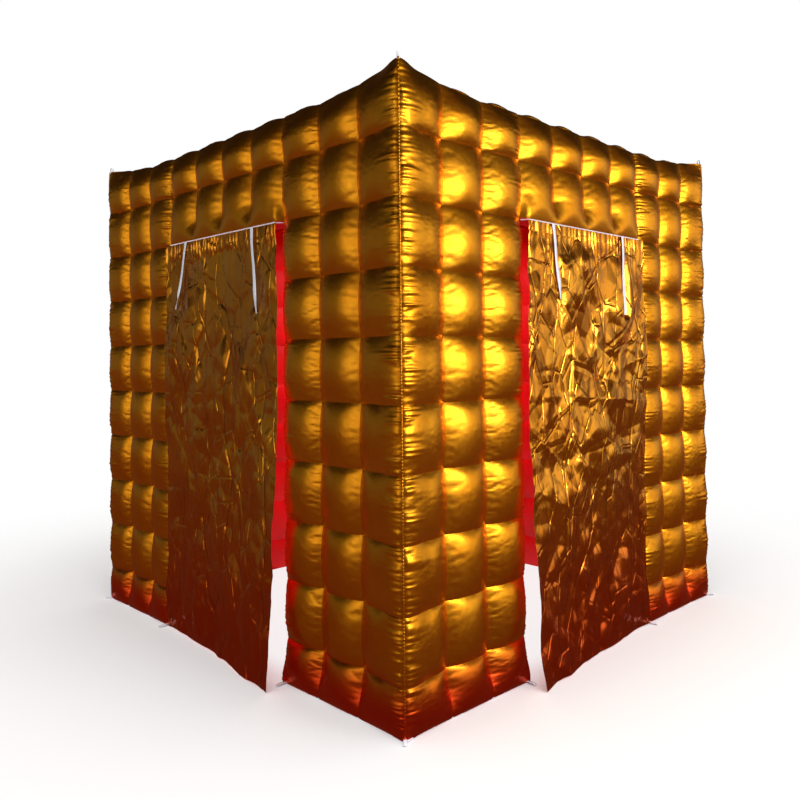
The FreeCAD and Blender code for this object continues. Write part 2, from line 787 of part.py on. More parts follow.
def main():
    os.makedirs("parts", exist_ok=True)
    for wall in WALLS:
        save(wall + "_outer_skin", outer_skin(wall), wall)
        save(wall + "_inner_skin", inner_skin(wall), wall)
        save(wall + "_column_webs", column_webs(wall), wall)
    save("row_ties", on_walls(row_ties, WALLS))
    save("roof_outer_skin", flat_skin(OUTER_END - SKIN, TOP - SKIN))
    save("ceiling_skin", flat_skin(INNER_END + SKIN, CEILING))
    save("roof_webs", roof_webs())
    save("roof_ties", roof_ties())
    save("base_panels", base_panels())
    save("corner_tapes", corner_tapes())
    save("roof_edge_tapes", roof_edge_tapes())
    save("base_binding", base_binding())
    save("top_loops", top_loops())
    save("base_loops", base_corner_loops() + on_walls(jamb_loops, DOOR_WALLS))
    save("header_tapes", on_walls(header_tape, DOOR_WALLS))
    for wall in DOOR_WALLS:
        save(wall + "_door_reveal", door_reveal(), wall)
        save(wall + "_curtain_heading", curtain_heading(), wall)
        save(wall + "_curtain_foil", curtain_foil(), wall)
        save(wall + "_curtain_hem", curtain_hem(), wall)
        save(wall + "_ribbon_near", outer_ribbon(-1, RIBBON_LONG if wall == "left" else RIBBON_SHORT), wall)
        save(wall + "_ribbon_far", outer_ribbon(1, RIBBON_SHORT if wall == "left" else RIBBON_LONG), wall)
        save(wall + "_inner_ribbon_near", inner_ribbon(-1), wall)
        save(wall + "_inner_ribbon_far", inner_ribbon(1), wall)
    rear_pieces = {
        "blower_scroll": blower_scroll, "blower_flange": blower_flange, "flange_screws": flange_screws,
        "intake_grille": intake_grille, "impeller": impeller, "impeller_shaft": impeller_shaft,
        "blower_motor": blower_motor, "power_panel": power_panel, "power_inlet": power_inlet,
        "inlet_pins": inlet_pins, "switch_bezel": switch_bezel, "rocker": rocker,
        "zip_tapes": zip_tapes, "zip_coil": zip_coil, "zip_stops": zip_stops,
        "zip_slider": zip_slider, "zip_pull": zip_pull,
    }
    for node, make in rear_pieces.items():
        save(node, make(), "rear")
    save("led_strips", led_strips())
    save("controller_box", controller_box(), "right")
    save("controller_button", controller_button(), "right")


main()
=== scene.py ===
"""Looks of the inflatable quilted photo booth: gold quilted skins, red inside, crumpled foil curtains."""
import json
import math

import bpy
import numpy as np
from mathutils import Matrix, Vector, noise

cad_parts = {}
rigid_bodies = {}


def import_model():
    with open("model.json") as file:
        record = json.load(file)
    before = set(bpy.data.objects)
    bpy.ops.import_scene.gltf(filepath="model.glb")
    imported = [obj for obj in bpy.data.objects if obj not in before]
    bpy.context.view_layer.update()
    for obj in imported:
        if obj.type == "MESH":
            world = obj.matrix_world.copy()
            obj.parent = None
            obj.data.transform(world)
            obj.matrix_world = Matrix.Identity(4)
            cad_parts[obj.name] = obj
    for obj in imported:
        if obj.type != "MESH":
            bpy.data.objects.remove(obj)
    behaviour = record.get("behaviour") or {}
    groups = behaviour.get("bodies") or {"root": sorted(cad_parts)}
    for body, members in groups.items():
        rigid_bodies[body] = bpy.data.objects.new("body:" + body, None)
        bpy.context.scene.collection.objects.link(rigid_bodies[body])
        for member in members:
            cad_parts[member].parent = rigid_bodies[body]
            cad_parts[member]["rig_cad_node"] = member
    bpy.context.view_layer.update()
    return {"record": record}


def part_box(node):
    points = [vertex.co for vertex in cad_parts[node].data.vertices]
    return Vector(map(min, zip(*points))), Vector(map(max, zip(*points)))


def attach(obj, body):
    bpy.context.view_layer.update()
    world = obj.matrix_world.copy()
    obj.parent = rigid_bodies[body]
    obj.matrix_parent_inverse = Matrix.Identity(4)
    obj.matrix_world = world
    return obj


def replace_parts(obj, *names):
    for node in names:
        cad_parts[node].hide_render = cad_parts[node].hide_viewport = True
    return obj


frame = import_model()

# Places read from the frame
_, SKIN_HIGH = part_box("front_outer_skin")
ROOF_LOW, ROOF_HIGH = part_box("roof_outer_skin")
CEILING_LOW, CEILING_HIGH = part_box("ceiling_skin")
WEB_LOW, WEB_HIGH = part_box("front_column_webs")
TIE_LOW, TIE_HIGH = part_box("row_ties")
REVEAL_LOW, REVEAL_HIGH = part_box("front_door_reveal")
FOIL_LOW, FOIL_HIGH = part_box("front_curtain_foil")
HEM_LOW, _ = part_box("front_curtain_hem")
HEADING_LOW, HEADING_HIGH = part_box("front_curtain_heading")
SHEET = ROOF_HIGH[2] - ROOF_LOW[2]

SEAM_COUNT = 9                            # grooves each way, so one more cell than that
CROWN = 0.02                              # the skins' mean plane lies this far inside their crowns
HALF = SKIN_HIGH[0] + CROWN               # crown plane, from the middle
TOP = ROOF_HIGH[2]
CEILING = CEILING_LOW[2]
WALL = HALF - CEILING_HIGH[0] + SHEET + CROWN
SEAMS = np.linspace(WEB_LOW[0], WEB_HIGH[0] - SHEET, SEAM_COUNT)
ROWS = np.linspace(TIE_LOW[2], TIE_HIGH[2] - SHEET, SEAM_COUNT)
CORNER = HALF - CROWN                     # where two walls' skins are sewn together
ROOM = HALF - WALL + CROWN                # where two walls' linings are sewn together
U_LINES = [-CORNER, *SEAMS, CORNER]
Z_LINES = [0.0, *ROWS, TOP]
ROOM_LINES = [-ROOM, *(u for u in SEAMS if abs(u) < ROOM - 0.03), ROOM]
TOP_ROW = SEAM_COUNT
HEAD_ROW = 8                              # the row of cells just above a doorway
DOOR = (REVEAL_LOW[0] + SHEET, REVEAL_HIGH[0] - SHEET)
DOOR_HEAD = ROWS[HEAD_ROW - 1]
DOOR_COLS = range(3, 7)
CELL_WIDE = SEAMS[1] - SEAMS[0]
CELL_TALL = ROWS[1] - ROWS[0]

# Quilt form: depths are measured inward from the crown plane
NODE_DEEP = 0.052                         # where grooves and creases cross
GROOVE_RISE = 0.014                       # how much a groove rises between two nodes
CREASE_RISE = 0.028                       # how much a crease rises between two nodes
EDGE_DEEP = 0.0202                        # sewn edge at the floor
HEAD_EDGE_DEEP = 0.018                    # sewn edge at a doorway's head
ROOF_EDGE_DEEP = 0.055                    # sewn edge at the roof
HEAD_ROUND = 0.003                        # how softly the quilt is held back over a doorway
LINING_SHARE = 0.8                        # the linings are this share as deep as the skins
WEB_GAP, TIE_GAP = 0.004, 0.005           # webs and ties end this far short of the fabric
REVEAL_SWELL = 0.014                      # how far a doorway's sides swell between their seams
CORNER_LIFT = 0.042                       # the roof's corners are pulled up to a peak
LIFT_FROM = 0.62                          # the pull starts this far from a wall's middle
RIM_FADE = 0.08                           # a level skin's cells flatten out over this width at its rim
ROOF_DIP = 0.006                          # the roof's edge dips at each groove
ROOF_DIP_REACH = 0.13                     # no dips further than this beyond the last groove
SCALLOP = 0.007                           # how far a corner swells between two rows
CORNER_REACH = 0.55                       # share of the corner column that the corner draws in
FULLNESS = 0.018                          # extra fabric in a cell beyond its sewn outline
AIR_PRESSURE = 7.0
BLOWN_SHARE = 0.4                         # how far a cell goes from its sewn form to its blown one
BLOW_FRAMES = 20
CELL_N = 28                               # faces along a simulated cell
FINE_N = 56                               # faces up a cell of the outer skins
VARIANTS = 10                             # different cells in the batch
RNG = np.random.default_rng(7)

# Seams, bindings, loops and ribbons
SEAM_ROUND = 0.0035
PIPING_ROUND = 0.0025
BINDING_TALL = 0.007
BINDING_THICK = 0.003
LOOP_WIDE, LOOP_THICK = 0.014, 0.0014
LOOP_LIFT = 0.0065                        # a base loop's height above the floor
BASE_LOOP = (0.052, 0.010)                # how far a loop stands out, and how wide it opens
TOP_LOOP = (0.030, 0.014)
RIBBON_WIDE, RIBBON_THICK = 0.022, 0.0008
RIBBON_LEAN = 0.26                        # a ribbon tipped right over leans outward a little more than this

# Curtains
CURTAIN_NEAR = 0.018                      # how far the foil reaches past its flat outline at the near jamb
FLARE = 0.118                             # how far the foil's lower near corner is blown out
FOOT_DROP = 0.007                         # the foil hangs this much lower than its flat outline

WALLS = ("front", "left", "rear", "right")
DOOR_WALLS = ("front", "left")


def put(wall, u, d, z):
    """World points for a wall: u along it, d inward from its crown plane."""
    u, d, z = np.broadcast_arrays(u, d, z)
    flat = {
        "front": (u, d - HALF, z),
        "left": (d - HALF, u, z),
        "rear": (u, HALF - d, z),
        "right": (HALF - d, u, z),
    }[wall]
    return np.stack(flat, axis=-1)


def faces_out(wall):
    """Whether a u-z grid's own winding faces out of the booth."""
    return wall in ("front", "right")


# Mesh helpers

class Sheets:
    """Grids of points gathered into one mesh."""

    def __init__(self):
        self.points = []
        self.faces = []
        self.sharp = []
        self.count = 0

    def grid(self, p, flip=False, crease_every=0):
        nu, nz = p.shape[:2]
        index = self.count + np.arange(nu * nz).reshape(nu, nz)
        a, b, c, d = index[:-1, :-1], index[1:, :-1], index[1:, 1:], index[:-1, 1:]
        quads = (a, d, c, b) if flip else (a, b, c, d)
        self.faces.append(np.stack(quads, axis=-1).reshape(-1, 4))
        if crease_every:
            for j in range(crease_every, nz - 1, crease_every):
                self.sharp.append(np.stack((index[:-1, j], index[1:, j]), axis=-1))
        self.points.append(p.reshape(-1, 3))
        self.count += nu * nz

    def build(self, name, material, body="booth", smooth=True):
        points = np.concatenate(self.points)
        faces = np.concatenate(self.faces)
        mesh = bpy.data.meshes.new(name)
        mesh.from_pydata(points.tolist(), [], faces.tolist())
        mesh.polygons.foreach_set("use_smooth", np.full(len(faces), smooth))
        if self.sharp:
            mark_sharp(mesh, np.concatenate(self.sharp))
        if material:
            mesh.materials.append(material)
        mesh.update()
        piece = bpy.data.objects.new(name, mesh)
        bpy.context.scene.collection.objects.link(piece)
        if body:
            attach(piece, body)
        return piece


def mark_sharp(mesh, pairs):
    edges = np.empty(len(mesh.edges) * 2, dtype=np.int64)
    mesh.edges.foreach_get("vertices", edges)
    edges = np.sort(edges.reshape(-1, 2), axis=1)
    big = len(mesh.vertices)
    keys = edges[:, 0] * big + edges[:, 1]
    wanted = np.sort(pairs, axis=1)
    hit = np.isin(keys, wanted[:, 0] * big + wanted[:, 1])
    mark = mesh.attributes.new("sharp_edge", "BOOLEAN", "EDGE")
    mark.data.foreach_set("value", hit)


def between(a, b, f):
    return a + (b - a) * f


def smoothstep(x):
    x = np.clip(x, 0, 1)
    return x * x * (3 - 2 * x)


def sweep(sheets, path, side, section):
    """Carries a closed section along a path: a along the side direction, b square to it."""
    path = np.asarray(path, dtype=float)
    side = np.broadcast_to(np.asarray(side, dtype=float), path.shape)
    along = np.gradient(path, axis=0)
    across = np.cross(along, side)
    across /= np.linalg.norm(across, axis=1)[:, None]
    ring = np.asarray([*section, section[0]], dtype=float)
    grid = path[:, None] + side[:, None] * ring[None, :, :1] + across[:, None] * ring[None, :, 1:]
    sheets.grid(grid)
    for end, turn in ((0, False), (-1, True)):
        half = len(section) // 2
        first, second = grid[end, :half + 1], grid[end, :half - 1:-1]
        sheets.grid(np.stack((first, second)), turn)


def round_section(radius, sides=8):
    turns = [2 * math.pi * k / sides for k in range(sides)]
    return [(radius * math.cos(a), radius * math.sin(a)) for a in turns]


def band_section(wide, thick):
    return [(-wide / 2, -thick / 2), (wide / 2, -thick / 2), (wide / 2, thick / 2), (-wide / 2, thick / 2)]


def near_box(node, axis, u, z, margin, fade):
    """1 on a node's outline on the wall and a margin round it, fading to 0."""
    low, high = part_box(node)
    du = np.maximum(np.maximum(low[axis] - u, u - high[axis]), 0)
    dz = np.maximum(np.maximum(low[2] - z, z - high[2]), 0)
    return 1 - smoothstep((np.hypot(du, dz) - margin) / fade)


def corner_lift(v):
    return CORNER_LIFT * smoothstep((np.abs(v) - LIFT_FROM) / (CORNER - LIFT_FROM)) ** 1.6


def groove_dip(v):
    """How far the roof's edge dips at the nearest groove."""
    lines = np.array(U_LINES)
    k = np.clip(np.searchsorted(lines, v, side="right") - 1, 0, len(lines) - 2)
    s = 2 * (v - lines[k]) / (lines[k + 1] - lines[k]) - 1
    return ROOF_DIP * np.abs(s) ** 3 * (np.abs(v) < SEAMS[-1] + ROOF_DIP_REACH)


def roof_edge_high(v):
    """How much higher than the roof plane the sewn edge lies."""
    return corner_lift(v) - groove_dip(np.clip(v, -CORNER, CORNER))


# Quilt cells

def cell_form(s, t):
    """Depth below the crown plane of a cell's fabric before it is blown up."""
    groove = NODE_DEEP - GROOVE_RISE * (1 - t * t)
    crease = NODE_DEEP - CREASE_RISE * (1 - np.abs(s) ** 2.4)
    by_groove, by_crease = np.abs(s) ** 2.0, np.abs(t) ** 2.2
    return by_groove * groove + by_crease * crease - by_groove * by_crease * NODE_DEEP


def cell_sheets():
    """Every cell of the batch side by side in one mesh, with its sewn border pinned."""
    f = np.linspace(0, 1, CELL_N + 1)
    fu, fz = np.meshgrid(f, f, indexing="ij")
    s, t = 2 * fu - 1, 2 * fz - 1
    sheets = Sheets()
    pins = []
    for k in range(VARIANTS):
        uneven = RNG.normal(0, 0.0009, s.shape) * (1 - s ** 2) * (1 - t ** 2)
        x = fu * CELL_WIDE + k * 2 * CELL_WIDE
        index = sheets.count + np.arange(s.size).reshape(s.shape)
        pins.append(index[(np.abs(s) == 1) | (np.abs(t) == 1)])
        sheets.grid(np.stack((x, cell_form(s, t) + uneven, fz * CELL_TALL), axis=-1))
    return sheets, np.concatenate(pins)


def as_cloth(piece, pins):
    """Makes a piece a cloth held at its pins, with air pressure behind it."""
    group = piece.vertex_groups.new(name="sewn")
    group.add([int(i) for i in pins], 1.0, "REPLACE")
    cloth = piece.modifiers.new("Cloth", "CLOTH")
    c = cloth.settings
    c.quality = 6
    c.mass = 0.15
    c.tension_stiffness = c.compression_stiffness = 30
    c.shear_stiffness = 12
    c.bending_stiffness = 0.25
    c.tension_damping = c.compression_damping = c.shear_damping = 10
    c.air_damping = 2
    c.vertex_group_mass = "sewn"
    c.use_pressure = True
    c.uniform_pressure_force = AIR_PRESSURE
    c.shrink_min = -FULLNESS
    c.effector_weights.gravity = 0
    cloth.collision_settings.use_collision = False
    cloth.point_cache.frame_end = BLOW_FRAMES


def blown_cells():
    """Cells blown up by a cloth simulation, with the fabric a little fuller than its sewn outline."""
    sheets, pins = cell_sheets()
    piece = sheets.build("cells_to_blow_up", None, body=None)
    as_cloth(piece, pins)
    scene = bpy.context.scene
    for step in range(1, BLOW_FRAMES + 1):
        scene.frame_set(step)
    evaluated = piece.evaluated_get(bpy.context.evaluated_depsgraph_get())
    points = np.empty(len(evaluated.data.vertices) * 3)
    evaluated.data.vertices.foreach_get("co", points)
    points = points.reshape(VARIANTS, CELL_N + 1, CELL_N + 1, 3)
    mesh = piece.data
    bpy.data.objects.remove(piece)
    bpy.data.meshes.remove(mesh)
    scene.frame_set(1)
    scale = NODE_DEEP / (NODE_DEEP - points[..., 1].min(axis=(1, 2)).mean())
    f = np.linspace(-1, 1, CELL_N + 1)
    sewn = cell_form(*np.meshgrid(f, f, indexing="ij"))
    made = []
    for k in range(VARIANTS):
        fu = (points[k, ..., 0] - k * 2 * CELL_WIDE) / CELL_WIDE
        depth = NODE_DEEP - (NODE_DEEP - points[k, ..., 1]) * scale
        depth = sewn + (depth - sewn) * BLOWN_SHARE
        made.append(np.stack((fu, depth, points[k, ..., 2] / CELL_TALL), axis=-1))
    return made


def cells():
    return blown_cells()


def resample(cell, nz):
    """A cell with more points up its height."""
    old = np.linspace(0, 1, cell.shape[1])
    new = np.linspace(0, 1, nz + 1)
    low = np.clip(np.searchsorted(old, new, side="right") - 1, 0, len(old) - 2)
    w = ((new - old[low]) / (old[low + 1] - old[low]))[None, :, None]
    return cell[:, low] * (1 - w) + cell[:, low + 1] * w


def pick(cell_list, spin):
    """One of the simulated cells, turned about so that no two neighbours match."""
    cell = cell_list[spin % len(cell_list)].copy()
    if spin // len(cell_list) % 2:
        cell = cell[::-1]
        cell[..., 0] = 1 - cell[..., 0]
    return cell


def ripple(z, seed, pitch):
    """Uneven rounded ridges with sharp valleys along z, bunched here and there, from 0 to 1."""
    phase = np.random.default_rng(seed).uniform(0, 6.28, 5)
    wander = 1.5 * np.sin(z * 23 + phase[0]) + 1.0 * np.sin(z * 51 + phase[1])
    ridge = np.abs(np.sin(math.pi * z / pitch + wander)) ** 0.8
    fine = np.abs(np.sin(math.pi * z / (0.57 * pitch) + 1.7 * wander + phase[4])) ** 1.2
    strength = 0.6 + 0.4 * np.sin(z * 37 + phase[2]) * np.sin(z * 11 + phase[3])
    return (0.65 * ridge + 0.35 * fine) * strength


def pucker(edge, z, seed, deep=0.009, reach=0.072, pitch=0.029):
    """How far gathered stitching pulls the fabric out near an edge."""
    length = reach * (0.70 + 0.50 * np.sin(z * 61 + seed) * np.sin(z * 17 + 2 * seed))
    return deep * ripple(z, seed, pitch) * np.exp(-((edge / length) ** 2)) * smoothstep(edge / 0.006)


def scallop(z):
    """How far a corner swells at a height, from nothing at a row to its most between two."""
    return SCALLOP * np.abs(np.sin(math.pi * (z - ROWS[0]) / CELL_TALL))


def shaped_edges(cell, wall, col, row):
    """A cell's depths, drawn to the sewn edge at the roof, at the floor or at a doorway's head."""
    d = cell[..., 1].copy()
    s = 2 * cell[..., 0] - 1
    t = 2 * np.linspace(0, 1, cell.shape[1])[None, :] - 1
    if row == TOP_ROW:
        d += (ROOF_EDGE_DEEP - d[:, -1:]) * smoothstep((t + 0.2) / 1.2) ** 1.5
    if row == 0:
        d += (EDGE_DEEP - d[:, :1]) * smoothstep((0.3 - t) / 1.3)
    if row == HEAD_ROW and wall in DOOR_WALLS and col in DOOR_COLS:
        out = {DOOR_COLS[0]: -s, DOOR_COLS[-1]: s}.get(col, 0 * s)
        held = 1 - smoothstep((out - 0.7) / 0.3)
        d += (HEAD_EDGE_DEEP - d[:, :1]) * smoothstep((-t - 0.1) / 0.9) * held
    return d


def drawn_to_corner(u, d, z, side, at, reach):
    """Brings one side of a column to the corner's seam, swelling between the rows."""
    near = smoothstep(1 - np.abs(u - at) / reach)
    end = -side                           # the column's first line of points, or its last
    swell = scallop(z)[end]
    return u + (side * 2 - 1) * swell * near, d - (d[end] - CROWN + swell) * near


def column(cell_list, wall, col, rows, seed, gathered=(False, False), corner=(False, False)):
    """One column of cells as a grid of points, as u, d, z arrays."""
    u0, u1 = U_LINES[col], U_LINES[col + 1]
    parts = []
    for row in rows:
        spin = (seed * 31 + col * 7 + row * 13) % (2 * VARIANTS)
        cell = resample(pick(cell_list, spin), FINE_N)
        d = shaped_edges(cell, wall, col, row)
        u = between(u0, u1, cell[..., 0])
        z = between(Z_LINES[row], Z_LINES[row + 1], cell[..., 2])
        if row == TOP_ROW:
            z = z + roof_edge_high(u) * smoothstep((z - ROWS[-1]) / (TOP - ROWS[-1]))
        block = np.stack((u, d, z), axis=-1)
        parts.append(block if not parts else block[:, 1:])
    p = np.concatenate(parts, axis=1)
    u, d, z = p[..., 0], p[..., 1], p[..., 2]
    for side, at in ((0, u0), (1, u1)):
        edge = np.abs(u - at)
        if corner[side]:
            u, d = drawn_to_corner(u, d, z, side, at, CORNER_REACH * (u1 - u0))
        if gathered[side]:
            d = d - pucker(edge, z, seed * 3 + side + col)
    return u, d, z


# Fittings on the rear wall that the quilt lies flat round, and how far round each
FITTINGS = (("blower_flange", 0.012), ("power_panel", 0.010), ("zip_tapes", 0.006))

# Where each wall's skin ends at the roof and at the foot, one line of points to a column
EDGE_LINES = {(wall, end): [] for wall in WALLS for end in ("roof", "foot")}


def outer_skin(cell_list, wall, material):
    sheets = Sheets()
    seed = WALLS.index(wall) + 1
    for col in range(SEAM_COUNT + 1):
        doored = wall in DOOR_WALLS and col in DOOR_COLS
        rows = range(HEAD_ROW if doored else 0, TOP_ROW + 1)
        beside_door = tuple(wall in DOOR_WALLS and col == k for k in (DOOR_COLS[-1] + 1, DOOR_COLS[0] - 1))
        corner = (col == 0, col == SEAM_COUNT)
        gathered = tuple(a or b for a, b in zip(beside_door, corner))
        u, d, z = column(cell_list, wall, col, rows, seed, gathered, corner)
        for node, keep in FITTINGS if wall == "rear" else ():
            flat = near_box(node, 0, u, z, keep, 0.05)
            d = d * (1 - flat) + (CROWN + SHEET / 2) * flat
        if doored:
            spare = d - (HEAD_EDGE_DEEP - RIBBON_LEAN * (z - DOOR_HEAD))
            d = d + (np.hypot(spare, HEAD_ROUND) - spare) / 2
        step = 1 if any(gathered) else 2
        grid = put(wall, u, d, z)[:, ::step]
        sheets.grid(grid, not faces_out(wall), FINE_N // step)
        EDGE_LINES[wall, "roof"].append(grid[:, -1])
        if not doored:
            EDGE_LINES[wall, "foot"].append(grid[:, 0])
    piece = sheets.build(wall + "_quilted_skin", material)
    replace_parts(piece, wall + "_outer_skin")
    return piece


def coarse(cell_list):
    return [cell[::2, ::2] for cell in cell_list]


def inner_skin(cell_list, wall, material):
    """The red room side of a wall, with the same grid of cells."""
    sheets = Sheets()
    z_lines = [0.0, *(z for z in ROWS if z < CEILING), CEILING]
    for i, (u0, u1) in enumerate(zip(ROOM_LINES[:-1], ROOM_LINES[1:])):
        for j, (z0, z1) in enumerate(zip(z_lines[:-1], z_lines[1:])):
            mid = (u0 + u1) / 2
            if wall in DOOR_WALLS and DOOR[0] < mid < DOOR[1] and z1 < DOOR_HEAD + 0.01:
                continue
            cell = pick(cell_list, (i * 7 + j * 11 + WALLS.index(wall)) % (2 * VARIANTS))
            d = WALL - cell[..., 1] * LINING_SHARE
            u, z = between(u0, u1, cell[..., 0]), between(z0, z1, cell[..., 2])
            if wall == "right":
                flat = near_box("controller_box", 1, u, z, 0.006, 0.04)
                d = d * (1 - flat) + (WALL - CROWN) * flat
            grid = put(wall, u, d, z)
            sheets.grid(grid, faces_out(wall))
    piece = sheets.build(wall + "_quilted_lining", material)
    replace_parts(piece, wall + "_inner_skin")
    return piece


def rim_line(v):
    """How far out the roof's sewn edge lies beside a point at v along the wall."""
    toward_corner = smoothstep(1 - (CORNER - np.abs(v)) / (CORNER_REACH * (U_LINES[1] - U_LINES[0])))
    return HALF - ROOF_EDGE_DEEP + (ROOF_EDGE_DEEP - CROWN) * toward_corner


def to_rim(a, b):
    """Draws the outer part of a level skin in to its sewn edge."""
    outer = smoothstep((np.abs(a) - SEAMS[-1]) / (CORNER - SEAMS[-1]))
    return a + (np.sign(a) * rim_line(b) - a) * outer


def roof_skin(cell_list, material):
    sheets = Sheets()
    for i in range(SEAM_COUNT + 1):
        for j in range(SEAM_COUNT + 1):
            cell = pick(cell_list, (i * 5 + j * 17) % (2 * VARIANTS))
            a = between(U_LINES[i], U_LINES[i + 1], cell[..., 0])
            b = between(U_LINES[j], U_LINES[j + 1], cell[..., 2])
            rim = CORNER - np.maximum(np.abs(a), np.abs(b))
            depth = between(CROWN, cell[..., 1], smoothstep(rim / RIM_FADE))
            along = np.where(np.abs(a) > np.abs(b), b, a)
            high = roof_edge_high(along) * (1 - smoothstep(rim / 0.16))
            sheets.grid(np.stack((to_rim(a, b), to_rim(b, a), TOP + CROWN - depth + high), axis=-1))
    piece = sheets.build("roof_quilted_skin", material)
    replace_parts(piece, "roof_outer_skin")
    return piece


def ceiling_skin(cell_list, material):
    sheets = Sheets()
    for i in range(len(ROOM_LINES) - 1):
        for j in range(len(ROOM_LINES) - 1):
            cell = pick(cell_list, (i * 5 + j * 17) % (2 * VARIANTS))
            x = between(ROOM_LINES[i], ROOM_LINES[i + 1], cell[..., 0])
            y = between(ROOM_LINES[j], ROOM_LINES[j + 1], cell[..., 2])
            rim = ROOM - np.maximum(np.abs(x), np.abs(y))
            depth = between(CROWN, cell[..., 1] * LINING_SHARE, smoothstep(rim / RIM_FADE))
            sheets.grid(np.stack((x, y, CEILING - CROWN + depth), axis=-1), True)
    piece = sheets.build("ceiling_quilted_lining", material)
    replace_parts(piece, "ceiling_skin")
    return piece


def webs(cell_list, wall, material):
    """The webs between a wall's two skins, from groove to groove."""
    groove = cell_list[0][0, :, 1]
    sheets = Sheets()
    for k, u in enumerate(SEAMS):
        over_door = wall in DOOR_WALLS and DOOR_COLS[0] - 1 <= k <= DOOR_COLS[-1]
        for row in range(HEAD_ROW if over_door else 0, TOP_ROW):
            top = min(Z_LINES[row + 1], CEILING)
            z = between(Z_LINES[row], top, np.linspace(0, 1, len(groove)))
            front = groove + WEB_GAP
            back = WALL - LINING_SHARE * groove - WEB_GAP
            d = np.stack([between(front, back, f) for f in (0, 0.25, 0.5, 0.75, 1)])
            sheets.grid(put(wall, u, d, z[None, :]))
    piece = sheets.build(wall + "_quilt_webs", material)
    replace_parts(piece, wall + "_column_webs")
    return piece


def wall_ties(cell_list, material):
    """Row ties behind the quilt's creases, as narrow strips between the skins."""
    crease = cell_list[0][:, 0, 1]
    n = len(crease)
    sheets = Sheets()
    for wall in WALLS:
        for row in range(1, SEAM_COUNT):
            for col in range(1, SEAM_COUNT):
                if wall in DOOR_WALLS and col in DOOR_COLS:
                    continue
                u = between(U_LINES[col], U_LINES[col + 1], np.linspace(0, 1, n))
                inner = slice(n // 8, n - n // 8)
                front = crease[inner] + TIE_GAP
                back = WALL - LINING_SHARE * crease[inner] - TIE_GAP
                d = np.stack([between(front, back, f) for f in (0, 0.5, 1)], axis=1)
                sheets.grid(put(wall, u[inner, None], d, Z_LINES[row]))
    piece = sheets.build("quilt_row_ties", material)
    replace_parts(piece, "row_ties")
    return piece


def roof_inner_webs(cell_list, material):
    """Webs and ties between the roof and the ceiling."""
    groove = cell_list[0][0, :, 1]
    sheets = Sheets()
    ties = Sheets()
    top = TOP + CROWN - groove - WEB_GAP
    low = CEILING - CROWN + LINING_SHARE * groove + WEB_GAP
    z = np.stack([between(low, top, f) for f in (0, 0.5, 1)])
    for a in SEAMS:
        for j in range(1, SEAM_COUNT):
            b = between(U_LINES[j], U_LINES[j + 1], np.linspace(0, 1, len(groove)))
            sheets.grid(np.stack(np.broadcast_arrays(a, b[None, :], z), axis=-1))
            ties.grid(np.stack(np.broadcast_arrays(b[None, 4:-4], a, z[:, 4:-4]), axis=-1))
    piece = sheets.build("roof_quilt_webs", material)
    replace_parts(piece, "roof_webs")
    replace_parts(ties.build("roof_quilt_ties", material), "roof_ties")


def reveal(wall, material):
    """Red fabric round the doorway's thickness, slightly swollen between its seams."""
    sheets = Sheets()
    f = np.linspace(0, 1, 13)
    z = np.concatenate([np.linspace(*Z_LINES[j:j + 2], 21)[:-1] for j in range(HEAD_ROW)] + [[DOOR_HEAD]])
    t = np.concatenate([np.linspace(-1, 1, 21)[:-1]] * HEAD_ROW + [[1.0]])
    fz, zz = np.meshgrid(f, z, indexing="ij")
    _, tt = np.meshgrid(f, t, indexing="ij")
    front = NODE_DEEP - GROOVE_RISE * (1 - tt ** 2)
    d = between(front, WALL - LINING_SHARE * front, fz)
    for side, at in ((1, DOOR[0]), (-1, DOOR[1])):
        swell = REVEAL_SWELL * (1 - (2 * fz - 1) ** 2) * (0.35 + 0.65 * (1 - tt ** 2))
        crinkle = 0.0015 * np.sin(zz * 190 + 3 * side) * np.abs(2 * fz - 1)
        sheets.grid(put(wall, at + side * (swell + crinkle), d, zz), (side > 0) == faces_out(wall))
    u = np.linspace(DOOR[0], DOOR[1], 81)
    fh, uu = np.meshgrid(f, u, indexing="ij")
    lobe = np.abs(np.sin(math.pi * (uu - DOOR[0]) / (DOOR[1] - DOOR[0]) * 4))
    d = HEAD_EDGE_DEEP + (WALL - HEAD_EDGE_DEEP - 0.03 - HEAD_EDGE_DEEP) * fh
    z = DOOR_HEAD + 0.001 - 0.0015 * lobe * (1 - (2 * fh - 1) ** 2)
    sheets.grid(put(wall, uu, d, z), not faces_out(wall))
    piece = sheets.build(wall + "_door_reveal_fabric", material)
    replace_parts(piece, wall + "_door_reveal")
    return piece


# Seams, bindings, loops and ribbons

def corner_seams(material):
    """A stitched ridge up each corner, where two walls' skins meet."""
    sheets = Sheets()
    z = np.linspace(0.02, TOP, 600)
    stitch = 0.0012 * np.sin(z * 2 * math.pi / 0.012)
    out = CORNER + scallop(z) + stitch
    z = z + CORNER_LIFT * smoothstep((z - ROWS[-1]) / (TOP - ROWS[-1]))
    for sx in (-1, 1):
        for sy in (-1, 1):
            path = np.stack((sx * out, sy * out, z), axis=-1)
            sweep(sheets, path, (1, 0, 0), round_section(SEAM_ROUND, 6))
    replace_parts(sheets.build("corner_stitched_seams", material), "corner_tapes")


def roof_piping(material):
    sheets = Sheets()
    for wall in WALLS:
        path = np.concatenate([line[:-1] for line in EDGE_LINES[wall, "roof"]])
        path *= (1 - PIPING_ROUND / HALF, 1 - PIPING_ROUND / HALF, 1)
        sweep(sheets, path - (0, 0, 0.001), (0, 0, 1), round_section(PIPING_ROUND, 6))
    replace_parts(sheets.build("roof_edge_piping", material), "roof_edge_tapes")


